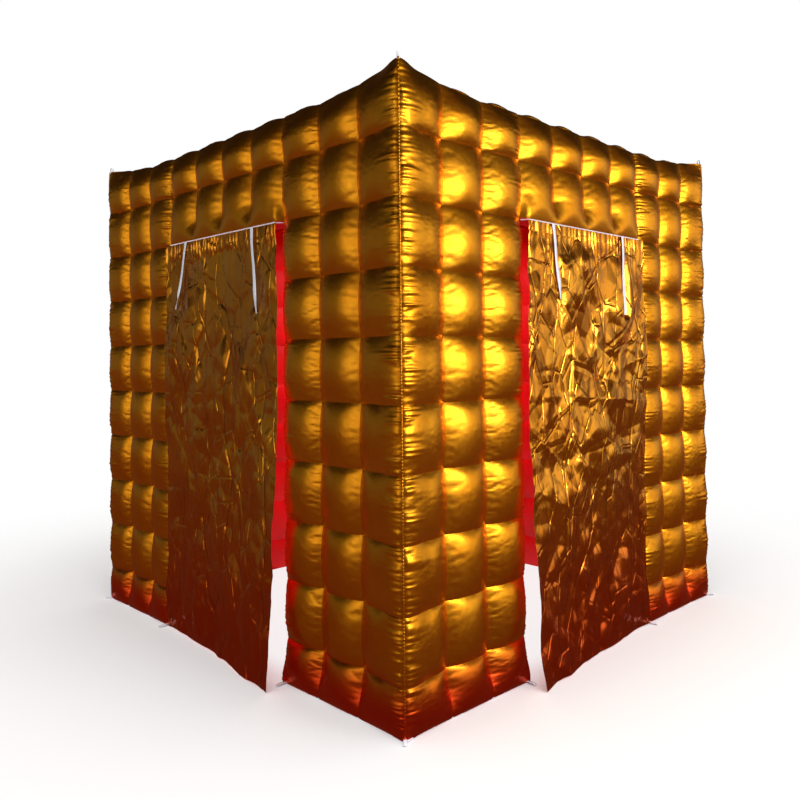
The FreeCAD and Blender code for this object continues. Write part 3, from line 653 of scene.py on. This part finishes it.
def base_piping(material):
    """Thin binding round the foot, broken at the doorways."""
    sheets = Sheets()
    for wall in WALLS:
        lines = EDGE_LINES[wall, "foot"]
        runs = (lines[:DOOR_COLS[0]], lines[DOOR_COLS[0]:]) if wall in DOOR_WALLS else (lines,)
        for run in runs:
            path = np.concatenate([line[:-1] for line in run])
            path[:, 2] = BINDING_TALL / 2 + 0.001
            sweep(sheets, path, (0, 0, 1), band_section(BINDING_TALL, BINDING_THICK))
    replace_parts(sheets.build("base_edge_binding", material), "base_binding")


def header_piping(material):
    """The thin pale piping along each doorway's head, where the curtain is sewn on."""
    sheets = Sheets()
    for wall in DOOR_WALLS:
        v = np.linspace(DOOR[0] + 0.004, DOOR[1] - 0.004, 200)
        end = smoothstep(1 - np.minimum(v - DOOR[0], DOOR[1] - v) / 0.037)
        path = put(wall, v, HEAD_EDGE_DEEP - 0.004 + (NODE_DEEP - HEAD_EDGE_DEEP) * end, DOOR_HEAD - 0.001)
        sweep(sheets, path, (0, 0, 1), round_section(PIPING_ROUND, 8))
    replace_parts(sheets.build("door_head_piping", material), "header_tapes")


def strap_loop(sheets, foot, out, width, long, tall):
    """A webbing strap sewn down by both ends, standing out as a loop."""
    turn = np.linspace(0, 2 * math.pi, 33)[:, None]
    out, width = np.array(out, dtype=float), np.array(width, dtype=float)
    rise = np.cross(out, width)
    rise *= np.sign(rise[2]) or 1
    path = np.array(foot) + out * long / 2 * (1 - np.cos(turn)) + rise * tall / 2 * np.sin(turn)
    sweep(sheets, path, width, band_section(LOOP_WIDE, LOOP_THICK))


def loops(material):
    base, top = Sheets(), Sheets()
    for sx in (-1, 1):
        for sy in (-1, 1):
            out = np.array((sx, sy, 0)) / math.sqrt(2)
            width = np.array((-out[1], out[0], 0))
            foot = np.array((sx, sy, 0)) * (CORNER - 0.006) + (0, 0, LOOP_LIFT)
            strap_loop(base, foot, out, width, *BASE_LOOP)
            foot = np.array((sx, sy, 0)) * (CORNER - 0.004) + (0, 0, TOP + CORNER_LIFT - 0.004)
            strap_loop(top, foot, (0, 0, 1), width, *TOP_LOOP)
    for wall, out, width in (("front", (0, -1, 0), (1, 0, 0)), ("left", (-1, 0, 0), (0, 1, 0))):
        for u in (DOOR[0] - 0.03, DOOR[1] + 0.03):
            strap_loop(base, put(wall, u, EDGE_DEEP, LOOP_LIFT), out, width, *BASE_LOOP)
    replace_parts(base.build("base_strap_loops", material), "base_loops")
    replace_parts(top.build("top_strap_loops", material), "top_loops")


# Each outer ribbon's lean along the wall and twist at its loose end
RIBBONS = (
    ("front", "near", 0.050, 0.5), ("front", "far", 0.010, -0.4),
    ("left", "near", -0.035, 0.5), ("left", "far", 0.100, 1.1),
)


def ribbon_line(wall, place, lean, drop):
    """A ribbon's middle along its wall, and its height, at each share of its drop."""
    low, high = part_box(wall + "_ribbon_" + place)
    axis = DOOR_WALLS.index(wall)
    u = (low[axis] + high[axis]) / 2 + lean * drop ** 1.2 + 0.003 * np.sin(drop * 9)
    return u, high[2] + 0.002 - (high[2] - low[2]) * drop


def behind_ribbon(wall, place, lean, u, z):
    """1 where a ribbon hangs in front of the foil, fading to 0, and how deep the foil lies there."""
    low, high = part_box(wall + "_ribbon_" + place)
    drop = np.clip((high[2] - z) / (high[2] - low[2]), 0, 1)
    line, _ = ribbon_line(wall, place, lean, drop)
    off = np.hypot(np.maximum(np.abs(u - line) - 0.014, 0), np.maximum(low[2] - z, 0))
    return 1 - smoothstep(off / 0.035), HALF + low[1 - DOOR_WALLS.index(wall)] + 0.003


def ribbons(material):
    """Satin strips that hang from the doorway's head, one to a body."""
    for wall, place, lean, twist in RIBBONS:
        node = wall + "_ribbon_" + place
        low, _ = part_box(node)
        drop = np.linspace(0, 1, 60)
        u, z = ribbon_line(wall, place, lean, drop)
        d = HALF + low[1 - DOOR_WALLS.index(wall)] - 0.002 * np.sin(drop * 3.1) - 0.002
        path = put(wall, u, d, z)
        angle = twist * smoothstep((drop - 0.72) / 0.28) + 0.12 * np.sin(drop * 5)
        across = put(wall, np.cos(angle), HALF + np.sin(angle), 0 * angle)
        sheets = Sheets()
        sweep(sheets, path, across, band_section(RIBBON_WIDE, RIBBON_THICK))
        piece = sheets.build(wall + "_satin_ribbon_" + place, material, node)
        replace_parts(piece, node)


# Foil curtains

def folds(u, z, seed, count, long, steep, spread):
    """Random straight creases, each a ridge that fades away from its middle."""
    rng = np.random.default_rng(seed)
    h = np.zeros_like(u)
    for _ in range(count):
        cu, cz = rng.uniform(0, 1) * 0.98, rng.uniform(0, 1) * 1.98
        angle = rng.normal(math.pi / 2, spread)
        size = long * rng.uniform(0.4, 1.2)
        along = (u - cu) * math.cos(angle) + (z - cz) * math.sin(angle)
        across = -(u - cu) * math.sin(angle) + (z - cz) * math.cos(angle)
        window = np.exp(-(along / size) ** 2 - (across / (0.35 * size)) ** 2)
        h += rng.choice((-1, 1)) * steep * rng.uniform(0.4, 1.0) * np.abs(across) * window
    return h


def facets(u, z, seed, size):
    """Crumpled foil: a tent over each random patch, with creases where patches meet."""
    out = np.empty(u.size)
    for k, (a, b) in enumerate(zip(u.ravel(), z.ravel())):
        near = noise.voronoi((a / size + seed, b / size * 0.8, seed * 1.7))[0]
        out[k] = min(near[1] - near[0], 0.8)
    return out.reshape(u.shape) * size


def gathers(u):
    """Small uneven folds where the foil is gathered onto the doorway's head."""
    return 0.0035 * np.sin(u * 190 + 2 * np.sin(u * 37)) + 0.0015 * np.sin(u * 83 + 1)


def heading(wall, material):
    """The gathered band that joins the curtain to the piping."""
    u = np.linspace(0, FOIL_HIGH[0] - FOIL_LOW[0], 401)[:, None]
    f = np.linspace(0, 1, 13)[None, :]
    low, high = HEADING_LOW[2], HEADING_HIGH[2]
    d = HALF + (FOIL_LOW[1] + FOIL_HIGH[1]) / 2 - gathers(u) * (1 - 0.6 * f)
    near = CURTAIN_NEAR * (1 - u / u[-1])
    sheets = Sheets()
    sheets.grid(put(wall, FOIL_LOW[0] + u - near, d, between(low, high, f)), not faces_out(wall))
    piece = sheets.build(wall + "_gathered_heading", material, wall + "_curtain")
    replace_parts(piece, wall + "_curtain_heading")
    return piece


def curtain(wall, material):
    """A crumpled foil sheet, gathered at its heading and blown out at its lower near corner."""
    f = np.linspace(0, 1, 201)
    g = np.linspace(0, 1, 401)
    width = FOIL_HIGH[0] - FOIL_LOW[0]
    low, high = HEM_LOW[2] - FOOT_DROP, HEADING_LOW[2]
    fu, gz = np.meshgrid(f, g, indexing="ij")
    u, drop = fu * width, gz * (high - low)
    seed = 11 if wall == "front" else 23
    h = facets(u, drop, seed, 0.30) * 0.08 + facets(u, drop, seed + 5, 0.12) * 0.08
    spread = 0.75 if wall == "front" else 0.40
    h += folds(u, drop, seed, 36, 0.50, 0.16, spread) + folds(u, drop, seed + 1, 120, 0.17, 0.17, spread)
    h = (h - h.mean()) * smoothstep((high - low - drop) / 0.10)
    gather = gathers(u) * np.exp(-(high - low - drop) / 0.07)
    loose = (1 - gz) ** 2.2 * (1 - fu) ** 1.2
    d = HALF + (FOIL_LOW[1] + FOIL_HIGH[1]) / 2 - FLARE * loose - h * 0.9 - gather
    d -= 0.008 * np.sin(u * 9 + drop * 1.3) * (1 - gz) * (1 - fu)
    d = np.minimum(d, HALF + FOIL_HIGH[1] + 0.006)
    reach = CURTAIN_NEAR + 0.024 * (1 - gz) ** 0.5 + 0.050 * (1 - gz) ** 2.5
    uu = FOIL_LOW[0] + u - reach * (1 - fu)
    lift = 0.004 * fu * (1 - gz) ** 4
    for owner, place, lean, _ in RIBBONS:
        if owner == wall:
            behind, deep = behind_ribbon(wall, place, lean, uu, low + drop)
            d = d + (np.maximum(d, deep) - d) * behind
    sheets = Sheets()
    sheets.grid(put(wall, uu, d, low + drop + lift), not faces_out(wall))
    piece = sheets.build(wall + "_foil_curtain", material, wall + "_curtain")
    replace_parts(piece, wall + "_curtain_foil", wall + "_curtain_hem")
    return piece


# Materials

def material(name):
    m = bpy.data.materials.new(name)
    m.use_nodes = True
    return m, m.node_tree, m.node_tree.nodes["Principled BSDF"]


def feed(tree, node, inputs):
    """Joins each of a node's inputs to a socket, or sets its value."""
    for name, value in inputs.items():
        if isinstance(value, bpy.types.NodeSocket):
            tree.links.new(value, node.inputs[name])
        else:
            node.inputs[name].default_value = value
    return node


def add(tree, kind, inputs, **settings):
    node = tree.nodes.new("ShaderNode" + kind)
    for name, value in settings.items():
        setattr(node, name, value)
    return feed(tree, node, inputs)


def ramp(tree, share, stops):
    r = add(tree, "ValToRGB", {"Fac": share})
    for i, (at, color) in enumerate(stops):
        e = r.color_ramp.elements[i] if i < 2 else r.color_ramp.elements.new(at)
        e.position = at
        e.color = (*color, 1)
    return r.outputs["Color"]


def local(tree):
    return add(tree, "TexCoord", {}).outputs["Object"]


def stretched(tree, scale, turn=0.0):
    """Object coordinates, tipped about x and y by one turn and scaled."""
    inputs = {"Vector": local(tree), "Scale": scale, "Rotation": (turn, turn, 0.0)}
    return add(tree, "Mapping", inputs).outputs["Vector"]


def patches(tree, scale, detail=4.0, rough=0.55, stretch=(1, 1, 1)):
    inputs = {"Vector": stretched(tree, stretch), "Scale": scale, "Detail": detail, "Roughness": rough}
    return add(tree, "TexNoise", inputs).outputs["Fac"]


def toned(tree, share, low, high):
    """A colour that wanders between two tones."""
    return ramp(tree, share, [(0.3, low), (0.7, high)])


def vector(tree, operation, *values):
    node = add(tree, "VectorMath", dict(enumerate(values)), operation=operation)
    return node.outputs["Value" if operation in ("DOT_PRODUCT", "LENGTH") else "Vector"]


def bump(tree, height, strength, distance, normal=None):
    inputs = {"Height": height, "Strength": strength, "Distance": distance}
    if normal:
        inputs["Normal"] = normal
    return add(tree, "Bump", inputs).outputs["Normal"]


def map_range(tree, value, low, high, start=0.0, end=1.0, blend="LINEAR"):
    """Takes a value from low to high as it goes from start to end."""
    inputs = {"Value": value, "From Min": start, "From Max": end, "To Min": low, "To Max": high}
    return add(tree, "MapRange", inputs, interpolation_type=blend).outputs["Result"]


def painted_red_floor_reflection(tree, color, red, foot, top):
    """Paints a reflection of a red floor into a colour: redder near the floor, by height alone."""
    split = add(tree, "SeparateXYZ", {0: local(tree)})
    share = map_range(tree, split.outputs["Z"], 1.0, 0.0, foot, top, "SMOOTHSTEP")
    inputs = {"Factor": share, "A": color, "B": (*red, 1)}
    return add(tree, "Mix", inputs, data_type="RGBA").outputs["Result"]


def gold_fabric():
    m, tree, shader = material("gold_quilt_fabric")
    tone = toned(tree, patches(tree, 6.0, 3.0), (0.94, 0.36, 0.014), (1.0, 0.44, 0.022))
    crinkled = bump(tree, patches(tree, 22.0, 5.0, 0.5), 0.06, 0.006)
    feed(tree, shader, {
        # painted reflection: the quilt's base colour turns deep red near the floor, standing in for a red
        # floor mirrored in the gold
        "Base Color": painted_red_floor_reflection(tree, tone, (0.95, 0.08, 0.015), 0.06, 0.26),
        "Metallic": 1.0,
        "Roughness": map_range(tree, patches(tree, 55.0, 6.0, 0.6), 0.22, 0.42),
        "Normal": bump(tree, patches(tree, 420.0, 2.0), 0.10, 0.001, crinkled),
    })
    return m


def foil():
    m, tree, shader = material("crumpled_gold_foil")
    tone = toned(tree, patches(tree, 4.0, 3.0), (0.80, 0.29, 0.025), (0.95, 0.43, 0.04))
    normal = None
    for scale, slope in ((7.0, 0.11), (20.0, 0.09)):
        normal = bump(tree, tilted_facets(tree, scale, slope), 1.0, 1.0, normal)
    for scale, strength in ((4.0, 0.8), (9.0, 0.5)):
        normal = bump(tree, crease_lines(tree, scale), strength, 0.003, normal)
    feed(tree, shader, {
        # painted reflection: the foil's base colour reddens towards its foot, standing in for a red floor
        # mirrored in it
        "Base Color": painted_red_floor_reflection(tree, tone, (0.80, 0.11, 0.02), 0.0, 0.95),
        "Metallic": 1.0,
        "Roughness": map_range(tree, patches(tree, 60.0, 4.0), 0.18, 0.30),
        "Normal": normal,
    })
    return m


def crease_lines(tree, scale):
    """Height of thin straight creases that run between uneven patches."""
    inputs = {"Vector": stretched(tree, (1.0, 1.0, 0.45), 0.25), "Scale": scale}
    cell = add(tree, "TexVoronoi", inputs, feature="DISTANCE_TO_EDGE")
    return map_range(tree, cell.outputs["Distance"], 0.0, 1.0, end=0.035)


def tilted_facets(tree, scale, slope):
    """Height of a surface broken into small flat facets, each tilted its own way."""
    place = stretched(tree, (1.0, 1.0, 0.55), -0.3)
    warp = add(tree, "TexNoise", {"Vector": place, "Scale": scale * 0.5})
    moved = vector(tree, "MULTIPLY_ADD", warp.outputs["Color"], (0.35 / scale,) * 3, place)
    cell = add(tree, "TexVoronoi", {"Vector": moved, "Scale": scale})
    away = vector(tree, "SUBTRACT", moved, cell.outputs["Position"])
    tilt = vector(tree, "MULTIPLY_ADD", cell.outputs["Color"], (2 * slope,) * 3, (-slope,) * 3)
    return vector(tree, "DOT_PRODUCT", away, tilt)


def red_fabric():
    m, tree, shader = material("red_lining_fabric")
    fine = patches(tree, 300.0, 2.0)
    feed(tree, shader, {
        "Base Color": toned(tree, patches(tree, 5.0, 3.0), (0.58, 0.003, 0.005), (0.80, 0.005, 0.008)),
        "Roughness": map_range(tree, fine, 0.42, 0.6),
        "Normal": bump(tree, fine, 0.15, 0.001),
        "Specular IOR Level": 0.25,
    })
    return m


def plain(name, low, high, scale, rough, metallic=0.0, relief=0.1, stretch=(1, 1, 1)):
    """A material with colour variation, uneven roughness and fine relief."""
    m, tree, shader = material(name)
    grain = patches(tree, scale, stretch=stretch)
    feed(tree, shader, {
        "Base Color": toned(tree, grain, low, high),
        "Metallic": metallic,
        "Roughness": map_range(tree, grain, *rough),
        "Normal": bump(tree, grain, relief, 0.001),
    })
    return m


def led_material():
    m, tree, shader = material("led_diffuser")
    tone = toned(tree, patches(tree, 30.0, 1.0), (1.0, 0.93, 0.85), (1.0, 0.98, 0.95))
    feed(tree, shader, {"Base Color": tone, "Emission Color": tone, "Emission Strength": 10.0})
    return m


def dress_cad(materials):
    """Give every carried-over CAD node its own material."""
    for subpart in frame["record"]["subparts"]:
        node = subpart["node"]
        made = materials[subpart["material_slot"]]
        for o in bpy.data.objects:
            if o.get("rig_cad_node") == node and o.type == "MESH":
                for slot in o.material_slots:
                    slot.material = made


# Stage

# Colour of the room round the booth from below to above, at the elevation's share
ROOM_UPWARD = [
    (0.0, (0.10, 0.05, 0.03)), (0.44, (0.16, 0.08, 0.04)), (0.495, (0.95, 0.85, 0.7)),
    (0.57, (1.1, 1.0, 0.85)), (0.65, (0.085, 0.050, 0.040)), (1.0, (0.09, 0.055, 0.045)),
]

# Brightness of the room round the booth by heading, from -X through -Y, +X and +Y back to -X
ROOM_AROUND = [
    (0.0, 1.4), (0.045, 1.1), (0.075, 0.13), (0.195, 0.13), (0.23, 1.0), (0.38, 1.15), (0.43, 0.60),
    (0.48, 0.14), (0.54, 0.10), (0.60, 0.20), (0.64, 0.20), (0.675, 0.7), (0.695, 0.7), (0.72, 0.10),
    (0.84, 0.14), (0.925, 0.14), (0.965, 0.7), (0.985, 1.4), (1.0, 1.4),
]

EYE_FROM_NEAR_CORNER = (-2.0057, -2.0646, 1.4125)
YAW, PITCH, ROLL = 0.8011, 0.0118, -0.010
LENS, LENS_SHIFT = 35.47, -0.066
FLOOR_FADE = (2.2, 4.5)                   # the floor turns plain white between these distances


def camera():
    eye = np.array([-HALF, -HALF, 0.0]) + EYE_FROM_NEAR_CORNER
    level = math.cos(PITCH)
    forward = Vector((math.cos(YAW) * level, math.sin(YAW) * level, math.sin(PITCH)))
    right = Vector((math.sin(YAW), -math.cos(YAW), 0))
    up = right.cross(forward)
    c, s = math.cos(ROLL), math.sin(ROLL)
    right, up = right * c + up * s, up * c - right * s
    data = bpy.data.cameras.new("camera")
    data.sensor_width = 36.0
    data.lens = LENS
    data.shift_y = LENS_SHIFT
    obj = bpy.data.objects.new("camera", data)
    turn = Matrix((right, up, -forward)).transposed().to_4x4()
    obj.matrix_world = Matrix.Translation(Vector(eye)) @ turn
    bpy.context.scene.collection.objects.link(obj)
    bpy.context.scene.camera = obj


def mixed(tree, share, a, b):
    """One shader that gives way to another."""
    return add(tree, "MixShader", {"Fac": share, 1: a.outputs[0], 2: b.outputs[0]})


def world():
    w = bpy.data.worlds.new("studio")
    bpy.context.scene.world = w
    w.use_nodes = True
    tree = w.node_tree
    seen = feed(tree, tree.nodes["Background"], {"Color": (1, 1, 1, 1), "Strength": 1.0})
    toward = add(tree, "TexCoord", {}).outputs["Generated"]
    split = add(tree, "SeparateXYZ", {0: toward})
    tone = ramp(tree, map_range(tree, split.outputs["Z"], 0.0, 1.0, -1.0), ROOM_UPWARD)
    around = add(tree, "TexGradient", {"Vector": toward}, gradient_type="RADIAL")
    level = ramp(tree, around.outputs["Fac"], [(at, (v, v, v)) for at, v in ROOM_AROUND])
    room = add(tree, "Background", {"Color": tone, "Strength": level})
    by_camera = add(tree, "LightPath", {}).outputs["Is Camera Ray"]
    mix = mixed(tree, by_camera, room, seen)
    feed(tree, tree.nodes["World Output"], {"Surface": mix.outputs[0]})


def larger(tree, a, b):
    return add(tree, "Math", {0: a, 1: b}, operation="MAXIMUM").outputs["Value"]


def in_room(tree, place):
    """Near 1 on the floor inside the booth, so that the red lining doesn't tint it."""
    split = add(tree, "SeparateXYZ", {0: vector(tree, "ABSOLUTE", place)})
    widest = larger(tree, split.outputs["X"], split.outputs["Y"])
    return map_range(tree, widest, 0.8, 0.0, 1.05, 1.35, "SMOOTHSTEP")


def faded_to_white(tree, shader):
    """The floor's own shading round the booth, plain white further off and nearly so inside."""
    place = local(tree)
    far = map_range(tree, vector(tree, "LENGTH", place), 0.0, 1.0, *FLOOR_FADE, "SMOOTHSTEP")
    return mixed(tree, larger(tree, far, in_room(tree, place)), shader, add(tree, "Emission", {}))


def floor():
    m, tree, shader = material("floor_pale")
    feed(tree, shader, {"Base Color": (0.9, 0.9, 0.9, 1), "Roughness": 0.8})
    glow = add(tree, "Emission", {"Color": (0.115, 0.040, 0.018, 1)})
    mirrored = add(tree, "LightPath", {}).outputs["Is Glossy Ray"]
    mix = mixed(tree, mirrored, faded_to_white(tree, shader), glow)
    feed(tree, tree.nodes["Material Output"], {"Surface": mix.outputs[0]})
    bpy.ops.mesh.primitive_plane_add(size=60)
    plane = bpy.context.object
    plane.name = "floor"
    plane.data.materials.append(m)


def area_light(name, place, target, size, power):
    data = bpy.data.lights.new(name, "AREA")
    data.shape = "RECTANGLE"
    data.size, data.size_y = size
    data.energy = power
    obj = bpy.data.objects.new(name, data)
    obj.location = place
    obj.rotation_euler = (Vector(target) - Vector(place)).to_track_quat("-Z", "Y").to_euler()
    bpy.context.scene.collection.objects.link(obj)
    return obj


def lights():
    sun = bpy.data.lights.new("soft_sky", "SUN")
    sun.energy = 3.4
    sun.angle = 1.4
    obj = bpy.data.objects.new("soft_sky", sun)
    obj.rotation_euler = (math.radians(12), math.radians(-8), 0)
    obj.visible_glossy = False
    bpy.context.scene.collection.objects.link(obj)
    area_light("key", (-0.3, -6.6, 2.2), (-0.2, -1.2, 1.2), (4.6, 0.9), 112)
    inside = area_light("inside", (0, 0, CEILING - 0.12), (0, 0, 0), (1.4, 1.4), 22)
    inside.visible_glossy = False


# Plain materials by slot: name, two tones, grain, roughness, then metallic, relief and stretch
PLAIN = {
    "web_fabric": ("web_cloth", (0.75, 0.74, 0.70), (0.85, 0.85, 0.82), 300, (0.6, 0.8)),
    "binding": ("lavender_binding", (0.70, 0.62, 0.76), (0.86, 0.82, 0.90), 350, (0.5, 0.7), 0.0, 0.3),
    "webbing": ("white_webbing", (0.75, 0.76, 0.82), (0.88, 0.89, 0.94), 400, (0.55, 0.75), 0.0, 0.4),
    "heading_band": ("dark_gold_band", (0.22, 0.08, 0.01), (0.55, 0.24, 0.02), 60, (0.25, 0.4), 1.0, 1.5,
                     (1, 1, 0.05)),
    "ribbon": ("satin_ribbon", (0.72, 0.75, 0.84), (0.86, 0.88, 0.95), 250, (0.35, 0.5), 0.0, 0.3),
    "black_plastic": ("black_moulded", (0.02, 0.02, 0.022), (0.05, 0.05, 0.052), 500, (0.4, 0.6), 0.0, 0.3),
    "dark_plastic": ("dark_gloss", (0.015, 0.015, 0.016), (0.04, 0.04, 0.04), 200, (0.15, 0.3)),
    "steel": ("brushed_steel", (0.5, 0.5, 0.52), (0.68, 0.68, 0.70), 150, (0.2, 0.4), 1.0, 0.1, (1, 8, 1)),
    "motor_metal": ("cast_aluminium", (0.55, 0.56, 0.58), (0.7, 0.71, 0.73), 180, (0.3, 0.5), 1.0),
    "brass_pin": ("pin_brass", (0.72, 0.5, 0.2), (0.85, 0.65, 0.3), 200, (0.15, 0.3), 1.0),
    "rocker_red": ("rocker_red", (0.45, 0.01, 0.01), (0.62, 0.02, 0.02), 150, (0.15, 0.3)),
    "zip_fabric": ("zip_tape", (0.35, 0.20, 0.04), (0.5, 0.30, 0.07), 500, (0.6, 0.8), 0.0, 0.5),
    "zip_nylon": ("zip_nylon", (0.22, 0.13, 0.03), (0.34, 0.21, 0.05), 600, (0.35, 0.5), 0.0, 0.6),
    "zip_metal": ("zip_brass", (0.6, 0.42, 0.16), (0.82, 0.62, 0.28), 120, (0.15, 0.35), 1.0),
    "white_plastic": ("white_moulded", (0.78, 0.78, 0.76), (0.88, 0.88, 0.86), 400, (0.4, 0.55)),
    "button_rubber": ("button_rubber", (0.06, 0.06, 0.065), (0.12, 0.12, 0.125), 300, (0.6, 0.8)),
}


def slot_materials():
    gold = gold_fabric()
    made = {"gold_fabric": gold, "gold_tape": gold, "red_fabric": red_fabric(), "gold_foil": foil()}
    made["led"] = led_material()
    made.update((slot, plain(*row)) for slot, row in PLAIN.items())
    return made


def main():
    camera()
    world()
    floor()
    lights()
    bpy.context.scene.view_settings.view_transform = "Standard"
    slots = slot_materials()
    gold, red, foil_gold = slots["gold_fabric"], slots["red_fabric"], slots["gold_foil"]
    dress_cad(slots)
    cell_list = cells()
    small = coarse(cell_list)
    for wall in WALLS:
        outer_skin(cell_list, wall, gold)
        inner_skin(small, wall, red)
    roof_skin(small, gold)
    ceiling_skin(small, red)
    for wall in WALLS:
        webs(small, wall, slots["web_fabric"])
    wall_ties(small, slots["web_fabric"])
    roof_inner_webs(small, slots["web_fabric"])
    for wall in DOOR_WALLS:
        reveal(wall, red)
        heading(wall, foil_gold)
        curtain(wall, foil_gold)
    corner_seams(gold)
    roof_piping(gold)
    base_piping(slots["binding"])
    header_piping(slots["binding"])
    loops(slots["webbing"])
    ribbons(slots["ribbon"])


main()
